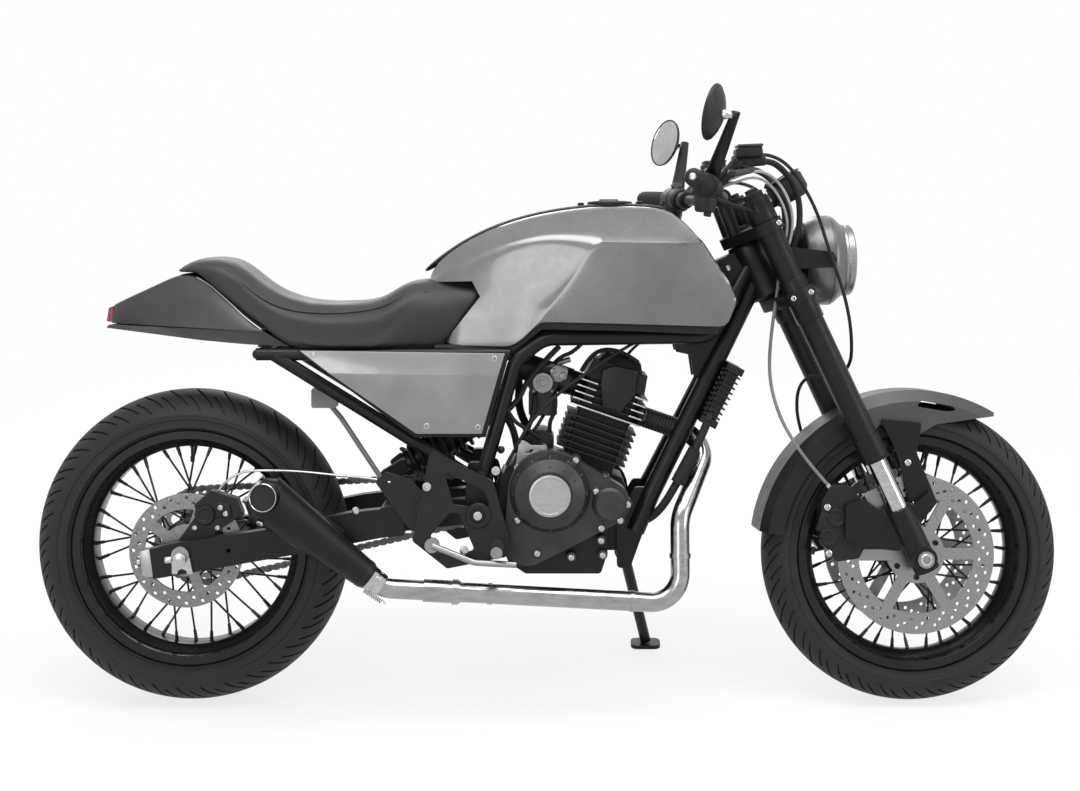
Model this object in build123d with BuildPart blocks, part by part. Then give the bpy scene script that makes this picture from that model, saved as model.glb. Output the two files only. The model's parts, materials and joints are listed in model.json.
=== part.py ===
"""Cafe racer motorcycle, leaning on its side stand with the steering a little to the left.

Every piece is drawn on the upright motorcycle: x forward from the rear axle, y to its left,
z up from the ground, in millimetres and degrees. The pieces are turned and set down at the end.
"""

import os
from math import atan2, cos, degrees, radians, sin, sqrt, tan

from build123d import *

# Stance and steering
wheelbase = 1410
rake = 25
fork_offset = 32
leg_y = 100
lean = 9
steer = 4
steer_lock = 30

# Wheels and brakes
rim_diameter = 431.8
rim_lip, rim_flange = 13, 5
front_tyre_width, front_tyre_height, front_rim_half = 110, 77, 38
rear_tyre_width, rear_tyre_height, rear_rim_half = 150, 90, 54
spokes_per_side = 18
spoke_radius = 2
axle_radius = 10
front_disc_radius, front_disc_y = 154, 58
rear_disc_radius, rear_disc_y = 110, 82
disc_thick = 5

# Fork, measured up the legs from the front axle
leg_radius, stanchion_radius, foot_radius = 24.5, 18.5, 25
foot_top, leg_bottom, leg_top = 104, 211, 762
lower_yoke_at, lower_yoke_thick = 545, 24
top_yoke_at, top_yoke_thick = 690, 22
stem_radius = 15

# Chassis
frame_y = 112
rail_z, rail_radius = 686.5, 12
pivot_x, pivot_z = 566, 385
arm_in, arm_out = 102, 132
sprocket_back, sprocket_drop = 134, 70
front_sprocket_radius, rear_sprocket_radius, chain_y = 38, 95, 85
chain_half_depth, chain_half_width = 7, 8
chain_pitch, roller_half_depth, link_thick = 19, 4, 2.4
plate_y, plate_thick = 152, 8
spool_x, spool_rise, spool_hole, spool_depth = 90, 8, 4, 20

# Engine
barrel_x, barrel_z, barrel_tilt = 774, 465, 19
barrel_height, head_height = 100, 122
fin_x, fin_y, fin_thick, fin_pitch = 140, 146, 3.2, 12.8
case_half = 95

# Side stand
stand_from_barrel, stand_y, stand_z = 74, 125, 285
stand_reach, stand_ahead = 262, 57
stand_radius, stand_hub = 11, 12

fit_gap = 0.3
running_gap = 5

front_radius = rim_diameter / 2 + front_tyre_height
rear_radius = rim_diameter / 2 + rear_tyre_height
spool_z = rear_radius + spool_rise
sprocket_x, sprocket_z = barrel_x - sprocket_back, barrel_z - sprocket_drop
stand_x = barrel_x + stand_from_barrel


def crown_radius(width, height):
    return (width**2 / 4 + height**2 / 4) / height


front_crown = crown_radius(front_tyre_width, front_tyre_height)
rear_crown = crown_radius(rear_tyre_width, rear_tyre_height)

# The fork slides along its own axis until the leaned and steered front tyre meets the ground
fork_up = Vector(-sin(radians(rake)), 0, cos(radians(rake)))
fork_ahead = Vector(cos(radians(rake)), 0, sin(radians(rake)))
turn_axis = Axis((0, 0, 0), fork_up)


def leaned(vector):
    return vector.rotate(Axis.X, -lean)


rear_lift = rear_crown * (1 - cos(radians(lean)))
level_axle = Vector(wheelbase, 0, front_radius)
level_turn = level_axle - fork_ahead * fork_offset
turned_axle = level_turn + (level_axle - level_turn).rotate(turn_axis, steer)
turned_spin = leaned(Vector(0, 1, 0).rotate(turn_axis, steer))
front_low = (
    leaned(turned_axle).Z
    + rear_lift
    - (front_radius - front_crown) * sqrt(1 - turned_spin.Z**2)
    - front_crown
)
fork_drop = -front_low / leaned(fork_up).Z

front_axle = level_axle + fork_up * fork_drop
rear_axle = Vector(0, 0, rear_radius)
turn_point = front_axle - fork_ahead * fork_offset
steer_axis = Axis(turn_point, fork_up)


def on_leg(up, y=0.0, ahead=0.0):
    return front_axle + fork_up * up + fork_ahead * ahead + Vector(0, y, 0)


def leg_plane(up):
    return Plane(origin=on_leg(up), x_dir=fork_ahead, z_dir=fork_up)


def rod(start, end, radius, mode=Mode.ADD):
    run = Vector(end) - Vector(start)
    with BuildSketch(Plane(origin=start, z_dir=run)) as section:
        Circle(radius)
    extrude(section.sketch, amount=run.length, mode=mode)


def tube(points, bend, radius):
    with BuildLine() as path:
        FilletPolyline(*points, radius=bend)
    with BuildSketch(path.line ^ 0) as section:
        Circle(radius)
    sweep(section.sketch, path=path.line)


def slab(outline, y_from, y_to, corner=0.0, mode=Mode.ADD):
    with BuildSketch(Plane.XZ.offset(-y_from)) as section:
        Polygon(*outline, align=None)
        if corner:
            fillet(section.vertices(), corner)
    extrude(section.sketch, amount=y_from - y_to, mode=mode)


def beside(x, z, outline):
    return [(x + ahead, z + up) for ahead, up in outline]


def disc(x, z, radius, y_from, y_to, mode=Mode.ADD):
    rod((x, y_from, z), (x, y_to, z), radius, mode)


def turned(start, end, profile):
    run = Vector(end) - Vector(start)
    side = Vector(0, 0, 1).cross(run) if abs(run.Z) < 0.99 * run.length else Vector(0, 1, 0)
    with BuildSketch(Plane(origin=start, x_dir=run, z_dir=side)) as section:
        Polygon(*profile, align=None)
    revolve(section.sketch, axis=Axis(start, run))


def wheel_plane(axle, angle=90.0):
    return Plane(
        origin=axle, x_dir=(0, 1, 0), z_dir=(sin(radians(angle)), 0, -cos(radians(angle)))
    )


def wheel_point(axle, radius, angle, y):
    return axle + Vector(radius * cos(radians(angle)), y, radius * sin(radians(angle)))


def tyre_ring(axle, width, height, rim_half):
    half, seat = width / 2, rim_diameter / 2
    top, wide, lip = seat + height, seat + height / 2, seat + rim_lip
    bead = rim_half - fit_gap
    wall = [
        (half, wide),
        (half - 3, wide - 0.28 * height),
        (rim_half + 6, lip + 4),
        (bead, lip + 1),
        (bead, seat + fit_gap),
        (bead - 9, seat + fit_gap),
        (bead - 6, lip + 7),
        (half - 10, wide),
    ]
    with BuildSketch(wheel_plane(axle)) as section:
        with BuildLine():
            Polyline(*wall)
            ThreePointArc((half - 10, wide), (0, top - 10), (10 - half, wide))
            Polyline(*[(-y, r) for y, r in reversed(wall)])
            ThreePointArc((-half, wide), (0, top), (half, wide))
        make_face()
    revolve(section.sketch, axis=Axis(axle, (0, 1, 0)))


def rim_ring(axle, rim_half):
    seat, lip = rim_diameter / 2, rim_diameter / 2 + rim_lip
    edge = [
        (rim_half - 28, seat - 14),
        (rim_half - 18, seat - 1),
        (rim_half, seat),
        (rim_half, lip),
        (rim_half + rim_flange, lip),
        (rim_half + rim_flange, seat - 5),
        (rim_half - 14, seat - 7),
        (rim_half - 25, seat - 20),
    ]
    with BuildSketch(wheel_plane(axle)) as section:
        Polygon(*edge, *[(-y, r) for y, r in reversed(edge)], align=None)
    revolve(section.sketch, axis=Axis(axle, (0, 1, 0)))


def spoke_set(axle, flange_radius, flange_y, rim_y):
    rim_reach = rim_diameter / 2 - 17
    planes, length = [], 0
    for number in range(2 * spokes_per_side):
        side = 1 if number % 2 else -1
        lead = 1 if number // 2 % 2 else -1
        hub_angle = number * 180 / spokes_per_side
        foot = wheel_point(axle, flange_radius, hub_angle, side * (flange_y + 3 * lead))
        tip = wheel_point(axle, rim_reach, hub_angle + 32 * lead, side * rim_y)
        planes.append((foot, tip - foot))
        length = max(length, (tip - foot).length)
    for foot, run in planes:
        with BuildSketch(Plane(origin=foot, z_dir=run)) as section:
            Circle(spoke_radius)
        extrude(section.sketch, amount=run.length)


def arc_shell(axle, section_points, start, end):
    with BuildSketch(wheel_plane(axle, start)) as section:
        Polygon(*section_points, align=None)
    revolve(section.sketch, axis=Axis(axle, (0, -1, 0)), revolution_arc=end - start)


# Front wheel
with BuildPart() as front_tyre:
    tyre_ring(front_axle, front_tyre_width, front_tyre_height, front_rim_half)

front_flange_radius, front_flange_y = 46, 34
with BuildPart() as front_wire_wheel:
    rim_ring(front_axle, front_rim_half)
    disc(front_axle.X, front_axle.Z, 26, -front_disc_y, front_disc_y)
    for side in (-1, 1):
        disc(front_axle.X, front_axle.Z, 52, side * front_flange_y - 4, side * front_flange_y + 4)
        disc(front_axle.X, front_axle.Z, 36, side * 48, side * front_disc_y)
    spoke_set(front_axle, front_flange_radius, front_flange_y, 5)
    disc(front_axle.X, front_axle.Z, axle_radius + 0.6, -80, 80, Mode.SUBTRACT)


def brake_disc(axle, radius, ring_width, arms, arm_width, hub_radius, y_from, y_to, rows):
    plane = Plane(origin=axle + Vector(0, y_from, 0), x_dir=(1, 0, 0), z_dir=(0, y_to - y_from, 0))
    with BuildSketch(plane) as section:
        Circle(radius)
        Circle(radius - ring_width, mode=Mode.SUBTRACT)
        with PolarLocations((radius - ring_width + hub_radius) / 2, arms):
            Rectangle(radius - ring_width - hub_radius + 24, arm_width)
        Circle(hub_radius)
        Circle(16, mode=Mode.SUBTRACT)
        for row_radius, holes, first in rows:
            with PolarLocations(row_radius, holes, start_angle=first):
                Circle(3.5, mode=Mode.SUBTRACT)
    extrude(section.sketch, amount=abs(y_to - y_from))


front_disc_rows = [(142, 24, 0), (134, 24, 5), (126, 24, 10)]
with BuildPart() as front_discs:
    for side in (-1, 1):
        brake_disc(
            front_axle, front_disc_radius, 40, 6, 22, 56,
            side * front_disc_y, side * (front_disc_y + disc_thick), front_disc_rows,
        )

# Rear wheel
with BuildPart() as rear_tyre:
    tyre_ring(rear_axle, rear_tyre_width, rear_tyre_height, rear_rim_half)

rear_flange_radius, rear_flange_y = 50, 40
with BuildPart() as rear_wire_wheel:
    rim_ring(rear_axle, rear_rim_half)
    disc(rear_axle.X, rear_axle.Z, 32, -rear_disc_y, rear_disc_y)
    for side in (-1, 1):
        disc(rear_axle.X, rear_axle.Z, 57, side * rear_flange_y - 5, side * rear_flange_y + 5)
        disc(rear_axle.X, rear_axle.Z, 42, side * 66, side * rear_disc_y)
    spoke_set(rear_axle, rear_flange_radius, rear_flange_y, 10)
    disc(rear_axle.X, rear_axle.Z, axle_radius + 0.6, -120, 120, Mode.SUBTRACT)

rear_disc_rows = [(102, 20, 0), (92, 20, 9)]
with BuildPart() as rear_disc:
    brake_disc(
        rear_axle, rear_disc_radius, 30, 5, 20, 50,
        -rear_disc_y, -rear_disc_y - disc_thick, rear_disc_rows,
    )

sprocket_edge = rear_sprocket_radius - roller_half_depth - fit_gap
with BuildPart() as rear_sprocket:
    with BuildSketch(Plane(origin=(0, rear_disc_y, rear_radius), x_dir=(1, 0, 0), z_dir=(0, 1, 0))):
        Circle(sprocket_edge)
        with PolarLocations(66, 6):
            Circle(11, mode=Mode.SUBTRACT)
        Circle(16, mode=Mode.SUBTRACT)
    extrude(amount=6)

# Fork and steering
front_disc_out = front_disc_y + disc_thick
stay_in = front_disc_out + running_gap
stay_out = stay_in + 4.7
caliper_lug = [(-148, 38), (-148, 103), (-112, 112), (-60, 76), (-25, 38), (-45, 13), (-110, 20)]
stay_lug = [(-36, 76), (24, 128), (36, 103), (-14, 43)]
with BuildPart() as fork_feet:
    for side in (-1, 1):
        y = side * leg_y
        rod(on_leg(-26, y), on_leg(foot_top, y), foot_radius)
        disc(front_axle.X, front_axle.Z, 24, y - side * 24, y + side * 26)
        lug_y = side * (leg_y - 7.7)
        slab(beside(front_axle.X, front_axle.Z, caliper_lug), lug_y, lug_y + side * 11, 6)
        slab(beside(front_axle.X, front_axle.Z, stay_lug), side * (stay_out + fit_gap), side * 86, 5)
        disc(front_axle.X, front_axle.Z, axle_radius + 0.1, side * 60, side * 140, Mode.SUBTRACT)

with BuildPart() as fork_stanchions:
    for side in (-1, 1):
        rod(on_leg(foot_top, side * leg_y), on_leg(leg_bottom + 120, side * leg_y), stanchion_radius)

with BuildPart() as fork_legs:
    for side in (-1, 1):
        y = side * leg_y
        rod(on_leg(leg_bottom, y), on_leg(leg_top, y), leg_radius)
        rod(on_leg(leg_bottom, y), on_leg(leg_bottom + 46, y), leg_radius + 2.5)
        rod(on_leg(leg_top, y), on_leg(leg_top + 7, y), leg_radius - 5)
        rod(on_leg(leg_bottom, y), on_leg(leg_bottom + 121, y), stanchion_radius + 0.1, Mode.SUBTRACT)

with BuildPart() as front_axle_bar:
    disc(front_axle.X, front_axle.Z, axle_radius, -132, 132)
    for side in (-1, 1):
        disc(front_axle.X, front_axle.Z, 16, side * 126.3, side * 134)


def yoke_sketch(up, leg_clamp, stem_clamp, back):
    with BuildSketch(leg_plane(up)) as outline:
        for y in (-leg_y, leg_y):
            with Locations((0, y)):
                Circle(leg_clamp)
        with Locations((-fork_offset - back, 0)):
            Circle(stem_clamp)
        make_hull()
        with Locations((0, -leg_y), (0, leg_y)):
            Circle(leg_radius + 0.1, mode=Mode.SUBTRACT)
        with Locations((4 + leg_clamp / 2, 0)):
            Rectangle(leg_clamp, 2 * leg_y - 2 * leg_clamp - 4, mode=Mode.SUBTRACT)
    return outline.sketch


with BuildPart() as lower_yoke:
    extrude(yoke_sketch(lower_yoke_at, 32, 28, 0), amount=lower_yoke_thick)
    rod(
        on_leg(lower_yoke_at, 0, -fork_offset),
        on_leg(top_yoke_at + top_yoke_thick + 8, 0, -fork_offset),
        stem_radius,
    )

bar_radius, bar_x, bar_z, bar_inner = 11, 1035, 985, 60
bar_end = Vector(932, 370, 1005)
bar_bend = Vector(bar_x, bar_inner, bar_z)
with BuildPart() as top_yoke:
    extrude(yoke_sketch(top_yoke_at, 31, 42, 6), amount=top_yoke_thick)
    rod(
        on_leg(top_yoke_at, 0, -fork_offset),
        on_leg(top_yoke_at + top_yoke_thick, 0, -fork_offset),
        stem_radius + 0.1, Mode.SUBTRACT,
    )
    for side in (-1, 1):
        rod(on_leg(top_yoke_at + 10, side * 36, -54), (bar_x, side * 36, bar_z), 13)
        disc(bar_x, bar_z, 19, side * 24, side * 48)
    disc(bar_x, bar_z, bar_radius + 0.1, -60, 60, Mode.SUBTRACT)

with BuildPart() as handlebar:
    tube(
        [
            (bar_end.X, -bar_end.Y, bar_end.Z),
            (bar_bend.X, -bar_bend.Y, bar_bend.Z),
            tuple(bar_bend),
            tuple(bar_end),
        ],
        70, bar_radius,
    )


def on_bar(back, side):
    point = bar_end + (bar_bend - bar_end).normalized() * back
    return Vector(point.X, side * point.Y, point.Z)


def bar_sleeve(outer_from, outer_to, radius, side):
    rod(on_bar(outer_from, side), on_bar(outer_to, side), radius)
    rod(on_bar(outer_from - 5, side), on_bar(outer_to + 5, side), bar_radius + 0.1, Mode.SUBTRACT)


with BuildPart() as grips:
    for side in (-1, 1):
        bar_sleeve(6, 124, 16.5, side)

with BuildPart() as bar_controls:
    for side in (-1, 1):
        bar_sleeve(128, 160, 21, side)
        start, tip = on_bar(144, side) + Vector(14, 0, 10), Vector(1050, side * 205, 1046)
        rod(start, tip, 11)
        rod((1050, side * 205, 1042), (1050, side * 205, 1074), 19)
        tube(
            [(1040, side * 208, 1038), (1062, side * 246, 1028), (1000, side * 372, 1012)], 20, 5.5
        )
        rod(on_bar(100, side), on_bar(200, side), bar_radius + 0.1, Mode.SUBTRACT)

mirror_x, mirror_y, mirror_z, mirror_radius, mirror_toe = 972, 330, 1125, 52, 25
with BuildPart() as mirrors:
    for side in (-1, 1):
        face = Vector(-cos(radians(mirror_toe)), -side * sin(radians(mirror_toe)), 0)
        middle = Vector(mirror_x, side * mirror_y, mirror_z)
        turned(
            middle - face * 20, middle,
            [(0, 0), (0, 20), (8, 42), (16, mirror_radius), (22, mirror_radius), (22, 0)],
        )
        tube(
            [
                tuple(on_bar(150, side) + Vector(0, 0, 24)),
                (1044, side * 270, 1118),
                tuple(middle - face * 12),
            ],
            26, 5,
        )

lamp_x, lamp_z, lamp_radius = 1268, 865, 88
with BuildPart() as headlight_shell:
    turned(
        (1180, 0, lamp_z), (lamp_x, 0, lamp_z),
        [(0, 0), (4, 38), (18, 66), (44, 83), (80, lamp_radius), (88, lamp_radius), (88, 0)],
    )
    for side in (-1, 1):
        disc(1234, lamp_z, 9, side * 70, side * lamp_radius)

with BuildPart() as headlight_lens:
    turned(
        (lamp_x + fit_gap, 0, lamp_z), (lamp_x + 30, 0, lamp_z),
        [(0, 0), (0, lamp_radius + 2), (8, lamp_radius + 2), (12, 80), (20, 56), (27, 0)],
    )

with BuildPart() as headlight_ears:
    for side in (-1, 1):
        slab(
            [(1130, 845), (1244, 850), (1250, 865), (1244, 880), (1130, 892)],
            side * (lamp_radius + fit_gap), side * (lamp_radius + 6),
        )
        rod(on_leg(560, side * leg_y), on_leg(690, side * leg_y), leg_radius + 0.1, Mode.SUBTRACT)

with BuildPart() as instrument:
    turned(
        (1186, 0, 985), (1160, 0, 1030),
        [(0, 0), (0, 30), (14, 39), (44, 39), (44, 36), (48, 36), (48, 0)],
    )
    stalk = top_yoke_at + top_yoke_thick
    rod(on_leg(stalk + fit_gap, 0, -4), on_leg(stalk + 22, 0, -4), 7.5)
    rod(on_leg(stalk + 20, 0, -4), (1180, 0, 992), 7)

tyre_gap, fender_half = 12, 64
with BuildPart() as fender_rear:
    inner, skirt = front_radius + tyre_gap, front_radius - 30
    arc_shell(
        front_axle,
        [
            (-61, skirt), (-61, inner - 14), (-44, inner), (44, inner), (61, inner - 14), (61, skirt),
            (64, skirt), (64, inner - 12), (45, inner + 3), (-45, inner + 3), (-64, inner - 12), (-64, skirt),
        ],
        112, 171.5,
    )

with BuildPart() as fender_front:
    inner, skirt = front_radius + 22, front_radius - 64
    arc_shell(
        front_axle,
        [
            (-61, skirt), (-61, inner - 20), (-40, inner), (40, inner), (61, inner - 20), (61, skirt),
            (64, skirt), (64, inner - 18), (41, inner + 3), (-41, inner + 3), (-64, inner - 18), (-64, skirt),
        ],
        59, 111.93,
    )
    under_edge = [(-130, 178), (-70, 253), (-3, 227), (42, 252), (130, 264), (190, 268), (240, 108), (-130, 108)]
    slab(beside(front_axle.X, front_axle.Z, under_edge), -70, 70, mode=Mode.SUBTRACT)
    vent = [(2, 287), (12, 298), (74, 287), (82, 278), (60, 277)]
    slab(beside(front_axle.X, front_axle.Z, vent), -70, 70, 3, Mode.SUBTRACT)

with BuildPart() as fender_stays:
    for side in (-1, 1):
        stay = [(-72, 264), (10, 256), (0, 198), (36, 110), (26, 80), (-18, 110), (-34, 188)]
        slab(beside(front_axle.X, front_axle.Z, stay), side * stay_in, side * stay_out, 5)
        for ahead, up in ((-56, 252), (-4, 246)):
            disc(
                front_axle.X + ahead, front_axle.Z + up, 8,
                side * (fender_half + fit_gap), side * stay_in,
            )

caliper_outline = [
    (-192, 108), (-172, 140), (-135, 138), (-102, 93), (-98, 38), (-120, -2), (-165, -8), (-190, 28),
]
with BuildPart() as front_calipers:
    for side in (-1, 1):
        slab(
            beside(front_axle.X, front_axle.Z, caliper_outline),
            side * (front_rim_half + rim_flange + running_gap), side * 92, 10,
        )
        disc(
            front_axle.X, front_axle.Z, front_disc_radius + 6,
            side * (front_disc_y - running_gap), side * (front_disc_out + running_gap), Mode.SUBTRACT,
        )

with BuildPart() as brake_hoses:
    tube(
        [
            (1070.8, -205, 1058), (1150, -185, 1036), (1256, -126, 850), (1280, -114, 725),
            (1290, -58, 645), (1222, 42, 640), (1204, 77, 600), (1256, 78, 434.5),
        ],
        [30, 60, 60, 40, 40, 20], 4,
    )
    tube(
        [tuple(on_leg(lower_yoke_at - 3, -45, -14)), (1118, -62, 690), (1124, -76, 580), (1256, -78, 434.5)],
        [60, 60], 4,
    )

# Side stand: its foot reaches the ground beside the leaned motorcycle
ground_z = stand_reach * tan(radians(lean)) - rear_lift / cos(radians(lean))
stand_pivot = Vector(stand_x, stand_y, stand_z)
foot_thick = 8
ground_up = Vector(0, -sin(radians(lean)), cos(radians(lean)))
stand_foot = Vector(stand_x + stand_ahead, stand_reach, ground_z)
leg_end = stand_foot + ground_up * (foot_thick + 4)
stand_down = (leg_end - stand_pivot).normalized()
stand_folded = Vector(-1, 0.06, -0.1).normalized()
stand_hinge = stand_down.cross(stand_folded).normalized()
stand_sweep = degrees(atan2(stand_down.cross(stand_folded).length, stand_down.dot(stand_folded)))
# Frame
down_top, down_low, down_radius = Vector(1116, 0, 844), Vector(barrel_x + 123, 0, 409), 18
cross_x, cross_z, cross_radius = 602, 570, 13
with BuildPart() as frame:
    head_low = lower_yoke_at + lower_yoke_thick + fit_gap
    rod(on_leg(head_low, 0, -fork_offset), on_leg(top_yoke_at - fit_gap, 0, -fork_offset), 30)
    for side in (-1, 1):
        y = side * frame_y
        tube(
            [
                (1104, side * 18, 866), (1015, side * 66, 718), (690, side * 104, 716),
                (636, y, 674), (572, y, 450),
            ],
            [50, 60, 45], 14,
        )
        tube([down_top + Vector(0, side * 12, 0), down_low + Vector(0, side * 62, 0), (down_low.X - 29, side * 62, 340)], 60, down_radius)
        slab(
            [(545, 480), (582, 480), (586, 430), (585, 340), (560, 318), (536, 360)],
            side * 96, side * 120, 8,
        )
        engine_lug = [(9, 16), (-13, -69), (-39, -141), (-65, -141), (-65, -49), (-29, 16)]
        slab(beside(down_low.X, down_low.Z, engine_lug), side * 52, side * 64, 8)
        rod((626, y, rail_z), (140, y, rail_z), rail_radius)
        rod((172, y, rail_z), (564, y, 444), 12.5)
    rod((142, -frame_y, rail_z), (142, frame_y, rail_z), 10)
    disc(cross_x, cross_z, cross_radius, -frame_y, frame_y)
    rod(stand_pivot - stand_hinge * 38, stand_pivot - stand_hinge * (stand_hub + fit_gap), 13)
    rod((stand_x - 3, 56, stand_z - 3), stand_pivot - stand_hinge * 28, 12)
    rod(stand_pivot - stand_hinge * 14, stand_pivot + stand_hinge * 14, 6)
    rod(stand_pivot + stand_hinge * (stand_hub + fit_gap), stand_pivot + stand_hinge * 18, 10)
    rod(
        on_leg(head_low - 10, 0, -fork_offset), on_leg(top_yoke_at + 10, 0, -fork_offset),
        stem_radius + 1, Mode.SUBTRACT,
    )
    disc(pivot_x, pivot_z, 12.1, -140, 140, Mode.SUBTRACT)

# Swingarm, shock and drive
with BuildPart() as swingarm:
    for side in (-1, 1):
        slab(
            [
                (-64, rear_radius - 42), (-66, rear_radius + 8), (-20, rear_radius + 21), (152, rear_radius + 46),
                (320, pivot_z + 1), (425, pivot_z + 13), (425, pivot_z - 43), (380, pivot_z - 47),
                (215, rear_radius), (-50, rear_radius - 46),
            ],
            side * arm_in, side * arm_out, 4,
        )
        front_beam = [(-146, -41), (-146, 11), (-6, 23), (22, 0), (0, -24)]
        slab(beside(pivot_x, pivot_z, front_beam), side * 58, side * 92, 4)
        disc(0, rear_radius, axle_radius + 0.1, side * 90, side * 140, Mode.SUBTRACT)
    for side in (-1, 1):
        disc(spool_x, spool_z, spool_hole, side * (arm_out - spool_depth), side * (arm_out + 5), Mode.SUBTRACT)
    cross_beam = [(-188, -43), (-188, 11), (-142, 13), (-142, -41)]
    slab(beside(pivot_x, pivot_z, cross_beam), -arm_out, arm_out, 6)
    disc(pivot_x, pivot_z, 23, -92, 92)
    slab([(372, 390), (366, 446), (392, 452), (410, 396)], -9, 9, 4)
    disc(pivot_x, pivot_z, 12.1, -140, 140, Mode.SUBTRACT)

with BuildPart() as swing_pivot:
    disc(pivot_x, pivot_z, 12, -126, 126)
    for side in (-1, 1):
        disc(pivot_x, pivot_z, 19, side * 120.3, side * 128)

with BuildPart() as rear_axle_bar:
    disc(0, rear_radius, axle_radius, -140, 140)
    for side in (-1, 1):
        disc(0, rear_radius, 17, side * (arm_out + fit_gap), side * 143)

shock_low, shock_high = Vector(380, 0, 436), Vector(584, 0, 562)
with BuildPart() as rear_shock:
    shock_run = (shock_high - shock_low).normalized()
    turned(
        shock_low + shock_run * 34, shock_high,
        [(0, 0), (0, 12), (18, 12), (18, 30), (26, 30), (26, 25), (160, 25), (160, 31), (172, 31),
         (172, 20), (212, 20), (212, 0)],
    )
    for side in (-1, 1):
        slab([(368, 424), (366, 446), (412, 474), (424, 454), (392, 424)], side * 9.3, side * 16, 6)
    disc(cross_x, cross_z, cross_radius + 8, -16, 16)
    disc(cross_x, cross_z, cross_radius + 0.1, -40, 40, Mode.SUBTRACT)


def race_track(grow, y):
    with BuildSketch(Plane.XZ.offset(-y)) as loop:
        with Locations((0, rear_radius)):
            Circle(rear_sprocket_radius + grow)
        with Locations((sprocket_x, sprocket_z)):
            Circle(front_sprocket_radius + grow)
        make_hull()
    return loop.sketch


def link_edge(pin_reach, waist_reach):
    # One edge of the link plates: wide at each pin, waisted between pins
    path = race_track(0, chain_y).wire()
    links = round(path.length / chain_pitch)
    edge = []
    for number in range(links):
        for share, reach in ((-0.22, pin_reach), (0.22, pin_reach), (0.5, waist_reach)):
            at = (number + share) / links % 1
            run = path % at
            spot = path @ at + Vector(run.Z, 0, -run.X) * reach
            edge.append((spot.X, spot.Z))
    return edge


with BuildPart() as chain:
    waist = chain_half_depth - 2.6
    for start in (chain_y - chain_half_width, chain_y + chain_half_width - link_thick):
        outline, opening = sorted(
            (
                Face(Wire.make_polygon([Vector(x, start, z) for x, z in link_edge(sign * chain_half_depth, sign * waist)]))
                for sign in (1, -1)
            ),
            key=lambda face: -face.area,
        )
        extrude(outline, amount=link_thick, dir=(0, 1, 0))
        extrude(opening, amount=link_thick, dir=(0, 1, 0), mode=Mode.SUBTRACT)
    roller_start = chain_y - chain_half_width + link_thick
    roller_width = 2 * (chain_half_width - link_thick)
    with BuildPart(mode=Mode.PRIVATE) as rollers:
        extrude(race_track(roller_half_depth, roller_start), amount=-roller_width)
        extrude(race_track(-roller_half_depth, roller_start), amount=-roller_width, mode=Mode.SUBTRACT)
    add(rollers.part)

with BuildPart() as rear_caliper:
    body_outline = [(32, 46), (18, 90), (50, 118), (100, 102), (112, 72), (72, 46)]
    slab(beside(0, rear_radius, body_outline), -72, -101, 6)
    disc(
        0, rear_radius, rear_disc_radius + 6, running_gap - rear_disc_y,
        -rear_disc_y - disc_thick - running_gap, Mode.SUBTRACT,
    )
    bracket_outline = [(-16, -18), (-16, 16), (28, 78), (64, 94), (84, 70), (16, -18)]
    slab(beside(0, rear_radius, bracket_outline), -rear_disc_y - 10.5, fit_gap - arm_in, 6)
    disc(0, rear_radius, axle_radius + 0.1, -80, -120, Mode.SUBTRACT)

# Engine
tilt = radians(barrel_tilt)
barrel_base = Vector(barrel_x, 0, barrel_z)
barrel_up = Vector(sin(tilt), 0, cos(tilt))
barrel_ahead = Vector(cos(tilt), 0, -sin(tilt))


def on_barrel(up, ahead=0.0, y=0.0):
    return barrel_base + barrel_up * up + barrel_ahead * ahead + Vector(0, y, 0)


def block(up_from, up_to, length, width, ahead=0.0, taper=0.0):
    with BuildSketch(Plane(origin=on_barrel(up_from, ahead), x_dir=barrel_ahead, z_dir=barrel_up)) as section:
        RectangleRounded(length, width, 8)
    extrude(section.sketch, amount=up_to - up_from, taper=taper)


case_top_back, case_top_front = on_barrel(0, -92), on_barrel(0, 72)


def deck_z(x):
    return barrel_z - (x - barrel_x) * tan(tilt)


case_front = barrel_x + 38
case_outline = [
    *beside(barrel_x, barrel_z, [(-169, -135), (-152, -180), (-119, -202), (26, -202), (38, -165)]),
    (case_front, deck_z(case_front)), (case_top_back.X, case_top_back.Z),
    *beside(barrel_x, barrel_z, [(-154, 5), (-169, -25)]),
]
with BuildPart() as engine_case:
    slab(case_outline, -case_half, 72, 8)
    slab(
        [
            *beside(barrel_x, barrel_z, [(-74, -202), (26, -202), (38, -165)]),
            (case_front, deck_z(case_front)), (barrel_x - 74, deck_z(barrel_x - 74)),
        ],
        70, case_half, 8,
    )
    slab(
        [
            *beside(barrel_x, barrel_z, [(26, -165), (60, -165), (82, -125), (82, -60)]),
            (case_top_front.X, case_top_front.Z), (barrel_x + 16, deck_z(barrel_x + 16)),
        ],
        -50, 50,
    )
    disc(case_top_back.X - 2, case_top_back.Z + 17, 25, -74, 24)
    disc(case_top_back.X - 2, case_top_back.Z + 17, 17, -82, 24)

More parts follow.
